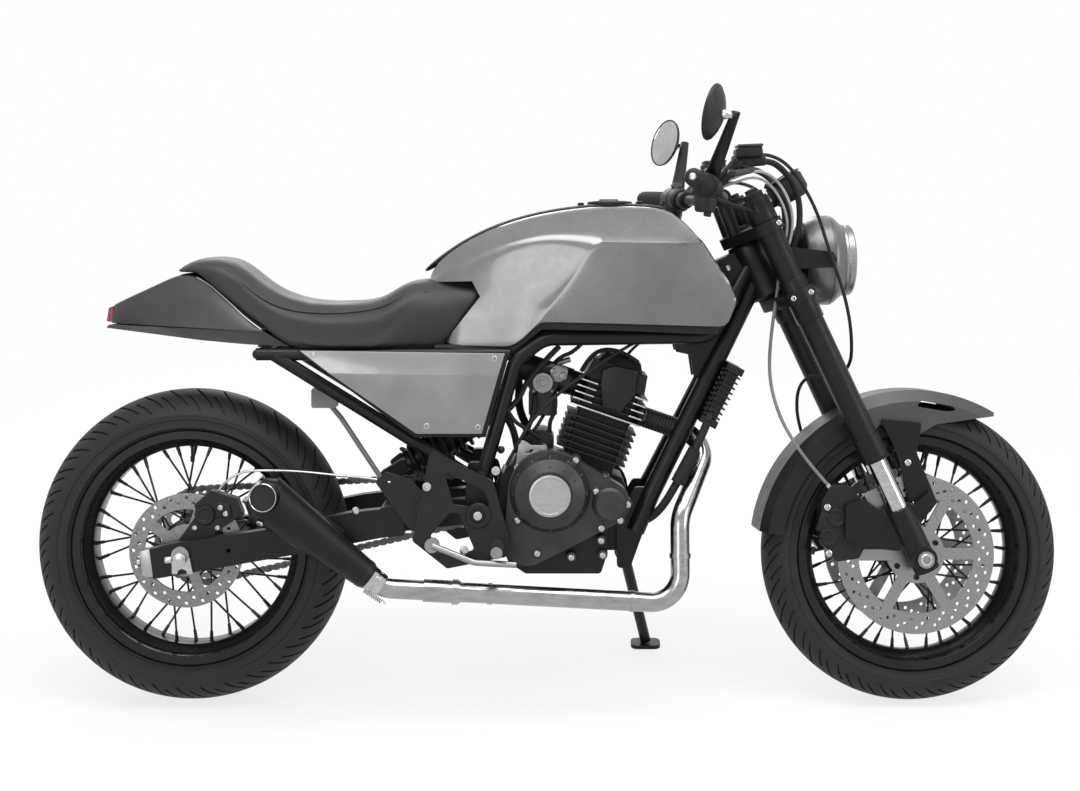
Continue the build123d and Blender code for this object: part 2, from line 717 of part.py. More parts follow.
clutch_x, clutch_z, cover_depth = barrel_x - 72, barrel_z - 40, 34
cam_x, cam_z = barrel_x + 42, barrel_z - 62
with BuildPart() as clutch_cover:
    with BuildSketch(Plane.XZ.offset(case_half)):
        with Locations((clutch_x, clutch_z)):
            Circle(80)
        with Locations((cam_x - 4, cam_z)):
            Circle(42)
        with Locations((barrel_x - 114, barrel_z - 135)):
            Circle(46)
        make_hull()
    extrude(amount=cover_depth)
    cover_face = -case_half - cover_depth
    turned(
        (clutch_x, cover_face, clutch_z), (clutch_x, cover_face - 60, clutch_z),
        [(0, 0), (0, 77), (30, 66), (44, 44), (44, 40), (52, 38), (52, 0)],
    )
    for number in range(12):
        ray = Vector(cos(radians(30 * number)), 0, sin(radians(30 * number)))
        middle = Vector(clutch_x, cover_face, clutch_z)
        rod(middle + ray * 70 - Vector(0, 18, 0), middle + ray * 50 - Vector(0, 37, 0), 4)
    turned(
        (cam_x, cover_face, cam_z), (cam_x, cover_face - 20, cam_z),
        [(0, 0), (0, 34), (10, 32), (16, 26), (16, 0)],
    )

rotor_x, rotor_z = barrel_x + 24, barrel_z - 65
with BuildPart() as alternator_cover:
    with BuildSketch(Plane.XZ.offset(-case_half)):
        with Locations((rotor_x, rotor_z)):
            Circle(62)
        with Locations((sprocket_x, sprocket_z)):
            Circle(front_sprocket_radius + chain_half_depth + 5)
        make_hull()
    extrude(amount=-24)
    turned(
        (rotor_x, case_half + 24, rotor_z), (rotor_x, case_half + 50, rotor_z),
        [(0, 0), (0, 56), (14, 50), (20, 36), (20, 0)],
    )

with BuildPart() as engine_cylinder:
    block(0, barrel_height - fit_gap, 104, 108)
    for row in range(6):
        start = 22 + row * fin_pitch
        block(start, start + fin_thick, fin_x, fin_y)

port_rise = 22
with BuildPart() as engine_head:
    block(barrel_height, barrel_height + 70, 108, 112)
    for row in range(5):
        start = barrel_height + 6 + row * fin_pitch
        block(start, start + fin_thick, fin_x, fin_y)
    block(barrel_height + 66, barrel_height + 104, 122, 128, taper=9)
    block(barrel_height + 102, barrel_height + head_height, 92, 104, taper=28)
    block(barrel_height + 102, barrel_height + head_height + 5, 34, 62, taper=10)
    rod(on_barrel(barrel_height + port_rise, 40), on_barrel(barrel_height + port_rise, 78), port_rise - 1)
    rod(on_barrel(barrel_height + 40, -40), on_barrel(barrel_height + 40, -82), 25)

carb_front = on_barrel(barrel_height + 40, -82 - fit_gap)
carb_back = on_barrel(barrel_height + 40, -190)
carb_x, carb_z = barrel_x - 86, barrel_z + 163
with BuildPart() as carburettor:
    rod(carb_front, carb_back, 27)
    disc(carb_x, carb_z, 30, -46, 40)
    disc(carb_x, carb_z, 20, -46, -66)
    slab(beside(carb_x, carb_z, [(-28, -68), (-28, -18), (28, -18), (28, -68)]), -30, 30, 6)

with BuildPart() as oil_cooler:
    cooler_dir = (down_top - down_low).normalized()
    cooler_ahead = Vector(cooler_dir.Z, 0, -cooler_dir.X)
    cooler_low = down_low + cooler_dir * 172 + cooler_ahead * (down_radius + fit_gap)
    cooler_rows, cooler_pitch, cooler_tank = 9, 11, 14
    cooler_height = 2 * cooler_tank + cooler_rows * cooler_pitch

    def cooler_block(start, end, depth, width):
        plane = Plane(origin=cooler_low + cooler_dir * start, x_dir=cooler_ahead, z_dir=cooler_dir)
        with BuildSketch(plane) as section:
            with Locations((18, 0)):
                RectangleRounded(depth, width, 4)
        extrude(section.sketch, amount=end - start)

    cooler_block(0, cooler_height, 24, 136)
    for start in (0, cooler_height - cooler_tank):
        cooler_block(start, start + cooler_tank, 36, 150)
    for row in range(cooler_rows):
        start = cooler_tank + row * cooler_pitch + 4
        cooler_block(start, start + 3, 36, 146)

# Exhaust
pipe_radius, elbow_x = 18.5, barrel_x + 177
port = on_barrel(barrel_height + port_rise, 78 + fit_gap)
muffler_low, muffler_high = Vector(363, -168, 270), Vector(154, -190, 434)
muffler_run = (muffler_high - muffler_low).normalized()
with BuildPart() as exhaust_header:
    tube(
        [
            tuple(port), tuple(on_barrel(barrel_height + port_rise, 218)), (elbow_x, -108, 372),
            (elbow_x, -128, 212), tuple(muffler_low - muffler_run * 34), tuple(muffler_low),
        ],
        [55, 60, 55, 50], pipe_radius,
    )
    drop_top, drop_low = Vector(elbow_x, -108, 372), Vector(elbow_x, -128, 212)
    drop, low_run = (drop_low - drop_top).normalized(), (muffler_low - muffler_run * 34 - drop_low).normalized()
    rod(drop_top + drop * 66, drop_top + drop * 76, pipe_radius + 2)
    for along, length, swell in ((90, 8, 1.6), (360, 8, 1.6), (420, 70, 2.6), (424, 12, 5)):
        rod(drop_low + low_run * along, drop_low + low_run * (along + length), pipe_radius + swell)

with BuildPart() as muffler:
    turned(
        muffler_low + muffler_run * fit_gap, muffler_high,
        [(0, 0), (0, 24), (12, 27), (238, 46), (246, 46), (272, 30), (272, 26), (190, 24), (190, 0)],
    )
    hanger = [(232, 16), (214, 46), (222, 70), (250, 62), (262, 20)]
    slab(beside(0, rear_radius, hanger), -arm_out - fit_gap, -165, 5)

# Tank, seat and tail
seat_bottom = rail_z + rail_radius + fit_gap
tank_rear = [(441, 826), (552, 830), (568, 798), (496, seat_bottom + 6)]
tank_top = [(441, 836), (544, 915), (632, 949), (750, 972), (886, 970), (942, 961), (990, 930)]
tank_columns = ("x_low", "x_high", "top", "strip_y", "edge_y", "edge_z", "band_y", "band_z", "low_y", "low_z")
tank_rows = [
    (441, 441, 836, 44, 64, 828, 68, 800, 66, 780),
    (548, 544, 915, 50, 102, 872, 100, 765, 104, 700),
    (640, 632, 949, 54, 126, 912, 112, 765, 118, 700),
    (690, 750, 972, 56, 138, 914, 140, 766, 132, 742),
    (720, 886, 970, 56, 146, 904, 146, 766, 138, 748),
    (985, 942, 961, 54, 140, 900, 140, 780, 128, 742),
    (1062, 990, 930, 50, 126, 898, 126, 790, 120, 738),
]
with BuildPart() as fuel_tank:
    for row in tank_rows:
        size = dict(zip(tank_columns, row))
        tank_tilt = Vector(size["x_high"] - size["x_low"], 0, size["top"] - size["low_z"]).normalized()
        station = Plane(
            origin=(size["x_low"], 0, size["low_z"]), x_dir=(0, 1, 0), z_dir=Vector(0, 1, 0).cross(tank_tilt)
        )
        half = [
            (size["strip_y"], size["top"]),
            (size["edge_y"], size["edge_z"]),
            (size["band_y"], size["band_z"]),
            (size["low_y"], size["low_z"]),
        ]
        half = [Vector(y, (z - size["low_z"]) / tank_tilt.Z) for y, z in half]
        other = [Vector(-spot.X, spot.Y) for spot in half]
        shoulder = half[1] - half[0]
        bulge = (half[0] + half[1]) / 2 + Vector(-shoulder.Y, shoulder.X) * 0.14
        with BuildSketch(station):
            with BuildLine():
                Line(other[0], half[0])
                ThreePointArc(half[0], bulge, half[1])
                Polyline(*half[1:], *reversed(other[1:]))
                ThreePointArc(other[1], Vector(-bulge.X, bulge.Y), other[0])
            make_face()
    loft(ruled=True)
    slab(
        [(400, 826), (552, 830), (568, 798), (496, seat_bottom + 6), (496, 600), (400, 600)],
        -200, 200, mode=Mode.SUBTRACT,
    )
    slab([(960, 680), (960, 880), (1150, 940), (1150, 680)], -84, 84, mode=Mode.SUBTRACT)

with BuildPart() as tank_strip:
    strip_line = tank_top[:-1]
    slab(strip_line + [(x, z + 5) for x, z in reversed(strip_line)], -40, 40)
    rod((820, 0, 968), (820, 0, 982), 42)
    slab(strip_line + [(942, 900), (441, 800)], -60, 60, mode=Mode.SUBTRACT)

seat_columns = ("x", "top", "bottom", "top_y", "side_y", "shoulder")
seat_rows = [
    (-27, 850, 842, 60, 74, 4),
    (15, 872, 842, 72, 92, 16),
    (60, 876, 812, 80, 104, 24),
    (93, 860, 786, 84, 110, 26),
    (146, 820, 744, 90, 118, 28),
    (212, 785, seat_bottom, 96, 126, 30),
    (332, 782, seat_bottom, 96, 130, 30),
    (381, 789, seat_bottom, 94, 130, 30),
    (420, 820, seat_bottom, 84, 122, 30),
    (440, 825.5, seat_bottom, 78, 116, 30),
    (568, 829, seat_bottom, 70, 104, 26),
]
with BuildPart() as seat:
    for row in seat_rows:
        size = dict(zip(seat_columns, row))
        side_y, bottom = size["side_y"], size["bottom"]
        shoulder = max(size["top"] - size["shoulder"], (size["top"] + bottom) / 2)
        roll = size["top"] - (size["top"] - shoulder) / 5
        with BuildSketch(Plane(origin=(size["x"], 0, 0), x_dir=(0, 1, 0), z_dir=(1, 0, 0))):
            with BuildLine():
                Polyline((-side_y, shoulder), (-side_y, bottom), (side_y, bottom), (side_y, shoulder))
                Spline(
                    (side_y, shoulder), (size["top_y"], roll), (0, size["top"]), (-size["top_y"], roll),
                    (-side_y, shoulder), tangents=[(0, 1), (0, -1)],
                )
            make_face()
    loft(ruled=True)
    gap = 0.5
    slab(
        [(430, 826 - gap), (552 - gap, 830 - gap), (568 - gap, 798), (496 - gap, seat_bottom + 6),
         (496 - gap, 600), (700, 600), (700, 1000), (430, 1000)],
        -200, 200, mode=Mode.SUBTRACT,
    )
    slab([(-60, 842), (20, 842), (202, 698), (202, 600), (-60, 600)], -200, 200, mode=Mode.SUBTRACT)

tail_columns = ("x", "top", "bottom", "top_y", "side_y")
tail_rows = [
    (-153, 780, 742, 40, 52),
    (-134, 790, 742, 52, 66),
    (-51, 826, 738, 66, 92),
    (-17, 841.7, 737, 72, 100),
    (20, 841.7, 735, 76, 106),
    (152, 738, 730, 100, 124),
]
with BuildPart() as tail_cowl:
    for row in tail_rows:
        size = dict(zip(tail_columns, row))
        with BuildSketch(Plane(origin=(size["x"], 0, 0), x_dir=(0, 1, 0), z_dir=(1, 0, 0))):
            Polygon(
                (size["top_y"], size["top"]), (size["side_y"], size["bottom"]),
                (-size["side_y"], size["bottom"]), (-size["top_y"], size["top"]), align=None,
            )
    loft(ruled=True)
    slab([(-60, 841.7), (20, 841.7), (300, 620), (300, 1000), (-60, 1000)], -200, 200, mode=Mode.SUBTRACT)

with BuildPart() as tail_tray:
    slab(
        [(-153, 736), (-149, 741.5), (-51, 737.5), (20, 734.5), (150, 729.5), (200, 699.2), (117, 704), (29, 712)],
        -90, 90,
    )
    rod((142, -60, 696.8), (142, -60, 715), 8)
    rod((142, 60, 696.8), (142, 60, 715), 8)

with BuildPart() as tail_lamp:
    slab([(-166, 746), (-162, 772), (-153.3, 776), (-153.3, 744)], -38, 38, 1.5)

panel_outline = [(228, 697), (628, 687), (558, 537), (452, 537)]
with BuildPart() as side_panels:
    for side in (-1, 1):
        with BuildSketch(Plane.XZ.offset(-side * 133)) as outer:
            Polygon(*panel_outline, align=None)
        extrude(outer.sketch, amount=-side * 13, taper=34)
        with BuildSketch(Plane.XZ.offset(-side * 133)) as inner:
            Polygon(*panel_outline, align=None)
            offset(amount=-3.5, kind=Kind.INTERSECTION)
        extrude(inner.sketch, amount=-side * 10.5, taper=34, mode=Mode.SUBTRACT)
        for x, z in ((300, rail_z), (560, rail_z), (572, 556)):
            rod((x, side * (frame_y + rail_radius + 0.4), z), (x, side * 144, z), 6)

# Foot controls and small parts
with BuildPart() as rearset_plates:
    for side in (-1, 1):
        slab(
            [(476, 509), (595, 450), (630, 324), (619, 307), (508, 285), (442, 337)],
            side * plate_y, side * (plate_y + plate_thick), 8,
        )
        slab([(500, 470), (578, 432), (590, 400), (520, 405)], side * 140, side * 170, 6, Mode.SUBTRACT)
        slab([(475, 345), (512, 390), (530, 390), (560, 320), (515, 308)], side * 140, side * 170, 6, Mode.SUBTRACT)
        slab([(370, 448), (392, 466), (440, 452), (466, 420), (462, 362), (440, 352)], side * 144, side * 149, 6)
        rod((455, side * 148, 400), (455, side * 156, 400), 8)
        rod((572, side * 126.4, 458), (572, side * plate_y, 458), 9)
        rod((572, side * 120.4, 345), (572, side * plate_y, 345), 9)

with BuildPart() as foot_controls:
    for side in (-1, 1):
        outer = plate_y + plate_thick + fit_gap
        rod((604, side * outer, 330), (604, side * (outer + 88), 330), 11)
        rod((480, side * outer, 330), (480, side * (outer + 10), 330), 14)
        tube(
            [(480, side * (outer + 8), 330), (560, side * (outer + 18), 300), (640, side * (outer + 30), 298)],
            40, 6,
        )

with BuildPart() as fluid_reservoir:
    slab([(243, 582), (243, 620), (292, 620), (292, 582)], -70, -99, 5)
    tube([(280, -84, 584), (300, -84, 560), (378, -96, 446)], 30, 5)

with BuildPart() as side_stand:
    rod(stand_pivot - stand_hinge * stand_hub, stand_pivot + stand_hinge * stand_hub, 17)
    rod(stand_pivot, leg_end, stand_radius)
    rod(stand_pivot - stand_hinge * 20, stand_pivot + stand_hinge * 20, 6.3, Mode.SUBTRACT)
    with BuildSketch(Plane(origin=stand_foot, x_dir=(1, 0, 0), z_dir=ground_up)):
        RectangleRounded(62, 44, 14)
    extrude(amount=foot_thick)

chassis = {
    "frame": frame, "swingarm": swingarm, "swing_pivot": swing_pivot, "rear_axle": rear_axle_bar,
    "rear_shock": rear_shock, "chain": chain, "rear_caliper": rear_caliper,
    "engine_case": engine_case, "clutch_cover": clutch_cover, "alternator_cover": alternator_cover,
    "engine_cylinder": engine_cylinder, "engine_head": engine_head, "carburettor": carburettor,
    "oil_cooler": oil_cooler, "exhaust_header": exhaust_header, "muffler": muffler,
    "fuel_tank": fuel_tank, "tank_strip": tank_strip, "seat": seat, "tail_cowl": tail_cowl,
    "tail_tray": tail_tray, "tail_lamp": tail_lamp, "side_panels": side_panels,
    "rearset_plates": rearset_plates, "foot_controls": foot_controls,
    "fluid_reservoir": fluid_reservoir, "rear_tyre": rear_tyre, "rear_wire_wheel": rear_wire_wheel,
    "rear_disc": rear_disc, "rear_sprocket": rear_sprocket, "side_stand": side_stand,
}
steering = {
    "lower_yoke": lower_yoke, "top_yoke": top_yoke, "fork_legs": fork_legs,
    "fork_stanchions": fork_stanchions, "fork_feet": fork_feet, "front_axle": front_axle_bar,
    "handlebar": handlebar, "grips": grips, "bar_controls": bar_controls, "mirrors": mirrors,
    "headlight_shell": headlight_shell, "headlight_lens": headlight_lens,
    "headlight_ears": headlight_ears, "instrument": instrument, "fender_front": fender_front,
    "fender_rear": fender_rear, "fender_stays": fender_stays, "front_calipers": front_calipers,
    "brake_hoses": brake_hoses, "front_tyre": front_tyre, "front_wire_wheel": front_wire_wheel,
    "front_discs": front_discs,
}

# Turn, lean and set down on the ground, with the middle of the box over the origin
placed = {name: piece.part.rotate(Axis.X, -lean) for name, piece in chassis.items()}
for name, piece in steering.items():
    placed[name] = piece.part.rotate(steer_axis, steer).rotate(Axis.X, -lean)
box = Compound(children=[shape.moved(Location()) for shape in placed.values()]).bounding_box()
set_down = Vector(-box.center().X, -box.center().Y, rear_lift)

os.makedirs("parts", exist_ok=True)
for name, shape in placed.items():
    shape = shape.translate(set_down)
    shape.label = name
    export_step(shape, f"parts/{name}.step")


def in_place(point, steered=False):
    if steered:
        point = turn_point + (point - turn_point).rotate(turn_axis, steer)
    return leaned(point) + set_down


points = {
    "front_spin": (front_axle, Vector(0, 1, 0), True),
    "rear_spin": (rear_axle, Vector(0, 1, 0), False),
    "steering": (turn_point + fork_up * 640, fork_up, False),
    "side_stand": (stand_pivot, stand_hinge, False),
    "spool_left": (Vector(spool_x, arm_out - spool_depth / 2, spool_z), Vector(0, 1, 0), False),
    "spool_right": (Vector(spool_x, spool_depth / 2 - arm_out, spool_z), Vector(0, -1, 0), False),
}
for name, (point, axis, steered) in points.items():
    axis = leaned(axis.rotate(turn_axis, steer) if steered else axis)
    print("point", name, *[round(v, 5) for v in (*in_place(point, steered), *axis)])
print("box", *[round(v, 3) for v in box.size], "lowest", round(box.min.Z + rear_lift, 4))
print("stand sweep", round(stand_sweep, 2), "steer", steer, "lock", steer_lock, "set down", *[round(v, 4) for v in set_down])
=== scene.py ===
import json
import math
import bmesh
import bpy
from mathutils import Matrix, Vector


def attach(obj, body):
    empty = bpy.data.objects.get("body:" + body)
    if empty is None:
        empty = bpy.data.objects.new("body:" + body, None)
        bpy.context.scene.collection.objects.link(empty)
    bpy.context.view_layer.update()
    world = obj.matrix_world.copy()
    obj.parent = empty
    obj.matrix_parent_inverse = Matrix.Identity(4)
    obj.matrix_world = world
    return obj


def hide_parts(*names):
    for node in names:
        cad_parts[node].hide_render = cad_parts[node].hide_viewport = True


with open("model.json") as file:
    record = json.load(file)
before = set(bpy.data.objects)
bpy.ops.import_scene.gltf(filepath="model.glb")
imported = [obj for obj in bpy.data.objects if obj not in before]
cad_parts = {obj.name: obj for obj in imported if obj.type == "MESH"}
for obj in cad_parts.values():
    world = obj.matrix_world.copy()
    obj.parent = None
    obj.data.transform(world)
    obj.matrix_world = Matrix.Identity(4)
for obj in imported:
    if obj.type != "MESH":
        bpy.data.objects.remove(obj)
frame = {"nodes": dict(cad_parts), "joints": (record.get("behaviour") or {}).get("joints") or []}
bpy.ops.object.select_all(action="DESELECT")
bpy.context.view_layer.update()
nodes = frame["nodes"]
joints = {joint["name"]: joint for joint in frame["joints"]}

# Everything is drawn on the upright machine, in metres: x ahead of the rear axle, y to its left, z up
stance = {"rearRadius": 0.3059, "steerDeg": 4.0, "frontAxle": (1.4105, 0, 0.2918), "rakeDeg": 25.0}
rearSpin, steerHinge = joints["rear_wheel_spin"], joints["steering"]
across = Vector(rearSpin["axis"])
upward = Vector((1, 0, 0)).cross(across)
turnOver = Matrix((Vector((1, 0, 0)), across, upward)).transposed().to_4x4()
upright = Matrix.Translation(Vector(rearSpin["pos_m"]) - upward * stance["rearRadius"]) @ turnOver
hingeAt, hingeAxis = Vector(steerHinge["pos_m"]), Vector(steerHinge["axis"])
aboutHinge = Matrix.Rotation(math.radians(stance["steerDeg"]), 4, hingeAxis)
steered = Matrix.Translation(hingeAt) @ aboutHinge @ Matrix.Translation(-hingeAt) @ upright
placeOf = {
    "chassis": upright, "rear_wheel": upright, "side_stand": upright,
    "steering": steered, "front_wheel": steered,
}
frontAxle = Vector(stance["frontAxle"])
rearAxle = Vector((0, 0, stance["rearRadius"]))
rake = math.radians(stance["rakeDeg"])
forkUp = Vector((-math.sin(rake), 0, math.cos(rake)))
forkAhead = Vector((math.cos(rake), 0, math.sin(rake)))
print("frame loaded:", len(nodes), "nodes")


def onLeg(up, y=0.0, front=0.0):
    return frontAxle + forkUp * up + forkAhead * front + Vector((0, y, 0))


def onCircle(x, z, radius, angle, y=0.0):
    return Vector((x + radius * math.cos(angle), y, z + radius * math.sin(angle)))


def ring(x, z, radius, stepDeg):
    return [onCircle(x, z, radius, math.radians(angle)).xz for angle in range(0, 360, stepDeg)]


def pick(*pieces):
    bpy.ops.object.select_all(action="DESELECT")
    for piece in pieces:
        piece.select_set(True)
    bpy.context.view_layer.objects.active = pieces[-1]


def modify(piece, kind, **settings):
    pick(piece)
    modifier = piece.modifiers.new(kind.lower(), kind)
    for key, value in settings.items():
        setattr(modifier, key, value)
    bpy.ops.object.modifier_apply(modifier=modifier.name)
    return piece


def openEdit(piece, action="SELECT"):
    pick(piece)
    bpy.ops.object.mode_set(mode="EDIT")
    bpy.ops.mesh.select_all(action=action)


def closeEdit():
    bpy.ops.mesh.select_all(action="SELECT")
    bpy.ops.mesh.remove_doubles(threshold=0.00001)
    bpy.ops.mesh.normals_make_consistent(inside=False)
    bpy.ops.object.mode_set(mode="OBJECT")


def drawLine(points):
    # a small plane merged to one corner and drawn out point by point
    points = [Vector(point) for point in points]
    bpy.ops.object.select_all(action="DESELECT")
    bpy.ops.mesh.primitive_plane_add(size=0.001)
    piece = bpy.context.object
    openEdit(piece)
    bpy.ops.mesh.merge(type="CENTER")
    bpy.ops.transform.translate(value=points[0])
    for before, after in zip(points, points[1:]):
        bpy.ops.mesh.extrude_vertices_move(TRANSFORM_OT_translate={"value": after - before})
    return piece


def lathe(profile, start, axis, steps, side=None):
    # profile rows are (along the axis, radius) and may add a turn about the axis
    start, axis = Vector(start), Vector(axis).normalized()
    side = Vector(side) if side else axis.orthogonal().normalized()
    points = []
    for along, radius, *turn in profile:
        arm = Matrix.Rotation(turn[0], 3, axis) @ side if turn else side
        points.append(start + axis * along + arm * radius)
    piece = drawLine(points)
    bpy.ops.mesh.select_all(action="SELECT")
    bpy.ops.mesh.spin(steps=steps, angle=math.tau, center=start, axis=axis)
    closeEdit()
    return piece


def plate(outline, yFrom, yTo, bevel=0.0):
    # an outline in x and z, drawn out across the machine
    piece = drawLine([(x, yFrom, z) for x, z in outline])
    bpy.ops.mesh.select_all(action="SELECT")
    bpy.ops.mesh.edge_face_add()
    bpy.ops.mesh.extrude_region_move(TRANSFORM_OT_translate={"value": (0, yTo - yFrom, 0)})
    closeEdit()
    if bevel:
        modify(piece, "BEVEL", width=bevel, segments=2, limit_method="ANGLE", angle_limit=math.radians(30))
    return piece


def rod(start, end, radius, sides, bevel=0.0, tip=None):
    start, end = Vector(start), Vector(end)
    run = end - start
    bpy.ops.object.select_all(action="DESELECT")
    bpy.ops.mesh.primitive_cone_add(
        vertices=sides, radius1=radius, radius2=radius if tip is None else tip, depth=run.length,
        location=(start + end) / 2, rotation=run.to_track_quat("Z", "Y").to_euler(),
    )
    piece = bpy.context.object
    bpy.ops.object.transform_apply(location=True, rotation=True, scale=True)
    if bevel:
        modify(piece, "BEVEL", width=bevel, segments=2, limit_method="ANGLE", angle_limit=math.radians(40))
    return piece


def hose(points, radius, sides, smoothSteps=10):
    curve = bpy.data.curves.new("hose", "CURVE")
    curve.dimensions = "3D"
    spline = curve.splines.new("NURBS")
    spline.points.add(len(points) - 1)
    for knot, point in zip(spline.points, points):
        knot.co = (*point, 1)
    spline.order_u = 3
    spline.use_endpoint_u = True
    spline.resolution_u = smoothSteps
    curve.bevel_depth = radius
    curve.bevel_resolution = sides
    curve.use_fill_caps = True
    piece = bpy.data.objects.new("hose", curve)
    bpy.context.scene.collection.objects.link(piece)
    pick(piece)
    bpy.ops.object.convert(target="MESH")
    return bpy.context.object


def copyTo(piece, matrix):
    twin = piece.copy()
    twin.data = piece.data.copy()
    twin.data.transform(matrix)
    bpy.context.scene.collection.objects.link(twin)
    return twin


def together(pieces):
    if len(pieces) == 1:
        return pieces[0]
    pick(*pieces)
    bpy.ops.object.join()
    return bpy.context.view_layer.objects.active


def discard(piece):
    bpy.data.objects.remove(piece)


def aim(at, axis, spin=0.0):
    turn = Vector(axis).to_track_quat("Z", "Y").to_matrix().to_4x4()
    return Matrix.Translation(Vector(at)) @ turn @ Matrix.Rotation(spin, 4, "Z")


def mirrored(piece):
    twin = copyTo(piece, Matrix.Scale(-1, 4, (0, 1, 0)))
    openEdit(twin)
    closeEdit()
    return twin


def onSide(piece, side):
    # drawn on the right, kept there or moved to the left
    if side < 0:
        return piece
    twin = mirrored(piece)
    discard(piece)
    return twin


def coilRun(start, end, count, stepDeg, first, share, radius):
    beside = (end - start).normalized().cross(Vector((0, 1, 0))).normalized()
    points = []
    for number in range(count):
        angle = math.radians(number * stepDeg)
        out = beside * math.cos(angle) + Vector((0, 1, 0)) * math.sin(angle)
        points.append(start.lerp(end, first + share * number / (count - 1)) + out * radius)
    return points


def settle(pieces, name, body, finish, slot, smooth, *stands):
    piece = together(pieces) if isinstance(pieces, list) else pieces
    pick(piece)
    piece.data.transform(placeOf[body])
    bpy.ops.object.shade_smooth_by_angle(angle=math.radians(smooth))
    piece.name = piece.data.name = name
    piece.data.materials.clear()
    piece.data.materials.append(finishes[finish])
    if stands:
        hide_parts(*stands)
    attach(piece, body)
    return piece


# Finishes
def startFinish(name, colour, roughness, metallic=0.0, specular=0.5):
    finish = bpy.data.materials.new(name)
    finish.use_nodes = True
    shader = finish.node_tree.nodes["Principled BSDF"]
    shader.inputs["Base Color"].default_value = (*colour, 1)
    shader.inputs["Roughness"].default_value = roughness
    shader.inputs["Metallic"].default_value = metallic
    shader.inputs["Specular IOR Level"].default_value = specular
    return finish, finish.node_tree, shader


def addNode(tree, kind, links=(), **settings):
    node = tree.nodes.new(kind)
    for key, value in settings.items():
        setattr(node, key, value)
    for socket, value in links:
        if isinstance(value, bpy.types.NodeSocket):
            tree.links.new(value, node.inputs[socket])
        else:
            node.inputs[socket].default_value = value
    return node


def objectPlace(tree, scale=(1, 1, 1)):
    place = addNode(tree, "ShaderNodeTexCoord")
    mapping = addNode(tree, "ShaderNodeMapping", [("Vector", place.outputs["Object"]), ("Scale", scale)])
    return mapping.outputs["Vector"]


def grain(tree, scale, detail, stretch=(1, 1, 1)):
    noise = addNode(
        tree, "ShaderNodeTexNoise",
        [("Vector", objectPlace(tree, stretch)), ("Scale", scale), ("Detail", detail), ("Roughness", 0.55)],
    )
    return noise.outputs["Fac"]


def spread(tree, value, low, high, fromLow=0.3, fromHigh=0.7):
    span = addNode(
        tree, "ShaderNodeMapRange",
        [("Value", value), ("From Min", fromLow), ("From Max", fromHigh), ("To Min", low), ("To Max", high)],
    )
    return span.outputs["Result"]


def shade(tree, value, dark, light):
    ramp = addNode(tree, "ShaderNodeValToRGB", [("Fac", value)])
    ramp.color_ramp.elements[0].position = 0.3
    ramp.color_ramp.elements[1].position = 0.7
    ramp.color_ramp.elements[0].color = (*dark, 1)
    ramp.color_ramp.elements[1].color = (*light, 1)
    return ramp.outputs["Color"]


def blendColour(tree, factor, first, second):
    mix = addNode(tree, "ShaderNodeMix", data_type="RGBA")
    for socket, value in (("Factor", factor), ("A", first), ("B", second)):
        target = [s for s in mix.inputs if s.name == socket and s.enabled][0]
        if isinstance(value, bpy.types.NodeSocket):
            tree.links.new(value, target)
        else:
            target.default_value = value
    return [s for s in mix.outputs if s.enabled][0]


def roundedEdges(tree, radius):
    return addNode(tree, "ShaderNodeBevel", [("Radius", radius)], samples=4).outputs["Normal"]


def raiseBump(tree, shader, height, strength, distance, normal=None):
    links = [("Height", height), ("Strength", strength), ("Distance", distance)]
    if normal is not None:
        links.append(("Normal", normal))
    bump = addNode(tree, "ShaderNodeBump", links)
    tree.links.new(bump.outputs["Normal"], shader.inputs["Normal"])


def edgeWear(tree, rounded):
    # bright where the rounded normal leaves the flat one
    flat = addNode(tree, "ShaderNodeNewGeometry").outputs["Normal"]
    dot = addNode(tree, "ShaderNodeVectorMath", operation="DOT_PRODUCT")
    tree.links.new(rounded, dot.inputs[0])
    tree.links.new(flat, dot.inputs[1])
    return spread(tree, dot.outputs["Value"], 1.0, 0.0, 0.9, 0.995)


def tinted(colour, by, lift=0.0):
    return tuple(min(1, c * by + lift) for c in colour)


def wearEdges(tree, shader, base, rounded, wear, bare):
    worn = addNode(tree, "ShaderNodeMath", [(0, edgeWear(tree, rounded)), (1, wear)], operation="MULTIPLY")
    tree.links.new(blendColour(tree, worn.outputs[0], base, (*bare, 1)), shader.inputs["Base Color"])


def paintedMetal(name, colour, roughness, metallic, specular, wear, flake=0.0, coat=0.0):
    finish, tree, shader = startFinish(name, colour, roughness, metallic, specular)
    shader.inputs["Coat Weight"].default_value = coat
    shader.inputs["Coat Roughness"].default_value = 0.08
    rounded = roundedEdges(tree, 0.0012)
    base = shade(tree, grain(tree, 9.0, 5.0), tinted(colour, 0.86), tinted(colour, 1.12, 0.002))
    wearEdges(tree, shader, base, rounded, wear, tinted(colour, 2.2, 0.03))
    tree.links.new(
        spread(tree, grain(tree, 60.0, 3.0), roughness * 0.88, roughness * 1.14), shader.inputs["Roughness"]
    )
    fine = grain(tree, 900.0 if not flake else 2600.0, 2.0)
    raiseBump(tree, shader, fine, 0.05 + flake, 0.0004, rounded)
    return finish


def castMetal(name, colour, roughness, metallic, specular, pebble):
    finish, tree, shader = startFinish(name, colour, roughness, metallic, specular)
    rounded = roundedEdges(tree, 0.0014)
    stain = grain(tree, 22.0, 6.0)
    base = shade(tree, stain, tinted(colour, 0.75), tinted(colour, 1.2))
    wearEdges(tree, shader, base, rounded, 0.35, tinted(colour, 1.9, 0.02))
    tree.links.new(spread(tree, stain, roughness * 0.85, roughness * 1.15), shader.inputs["Roughness"])
    raiseBump(tree, shader, grain(tree, 700.0, 3.0), pebble, 0.0006, rounded)
    return finish


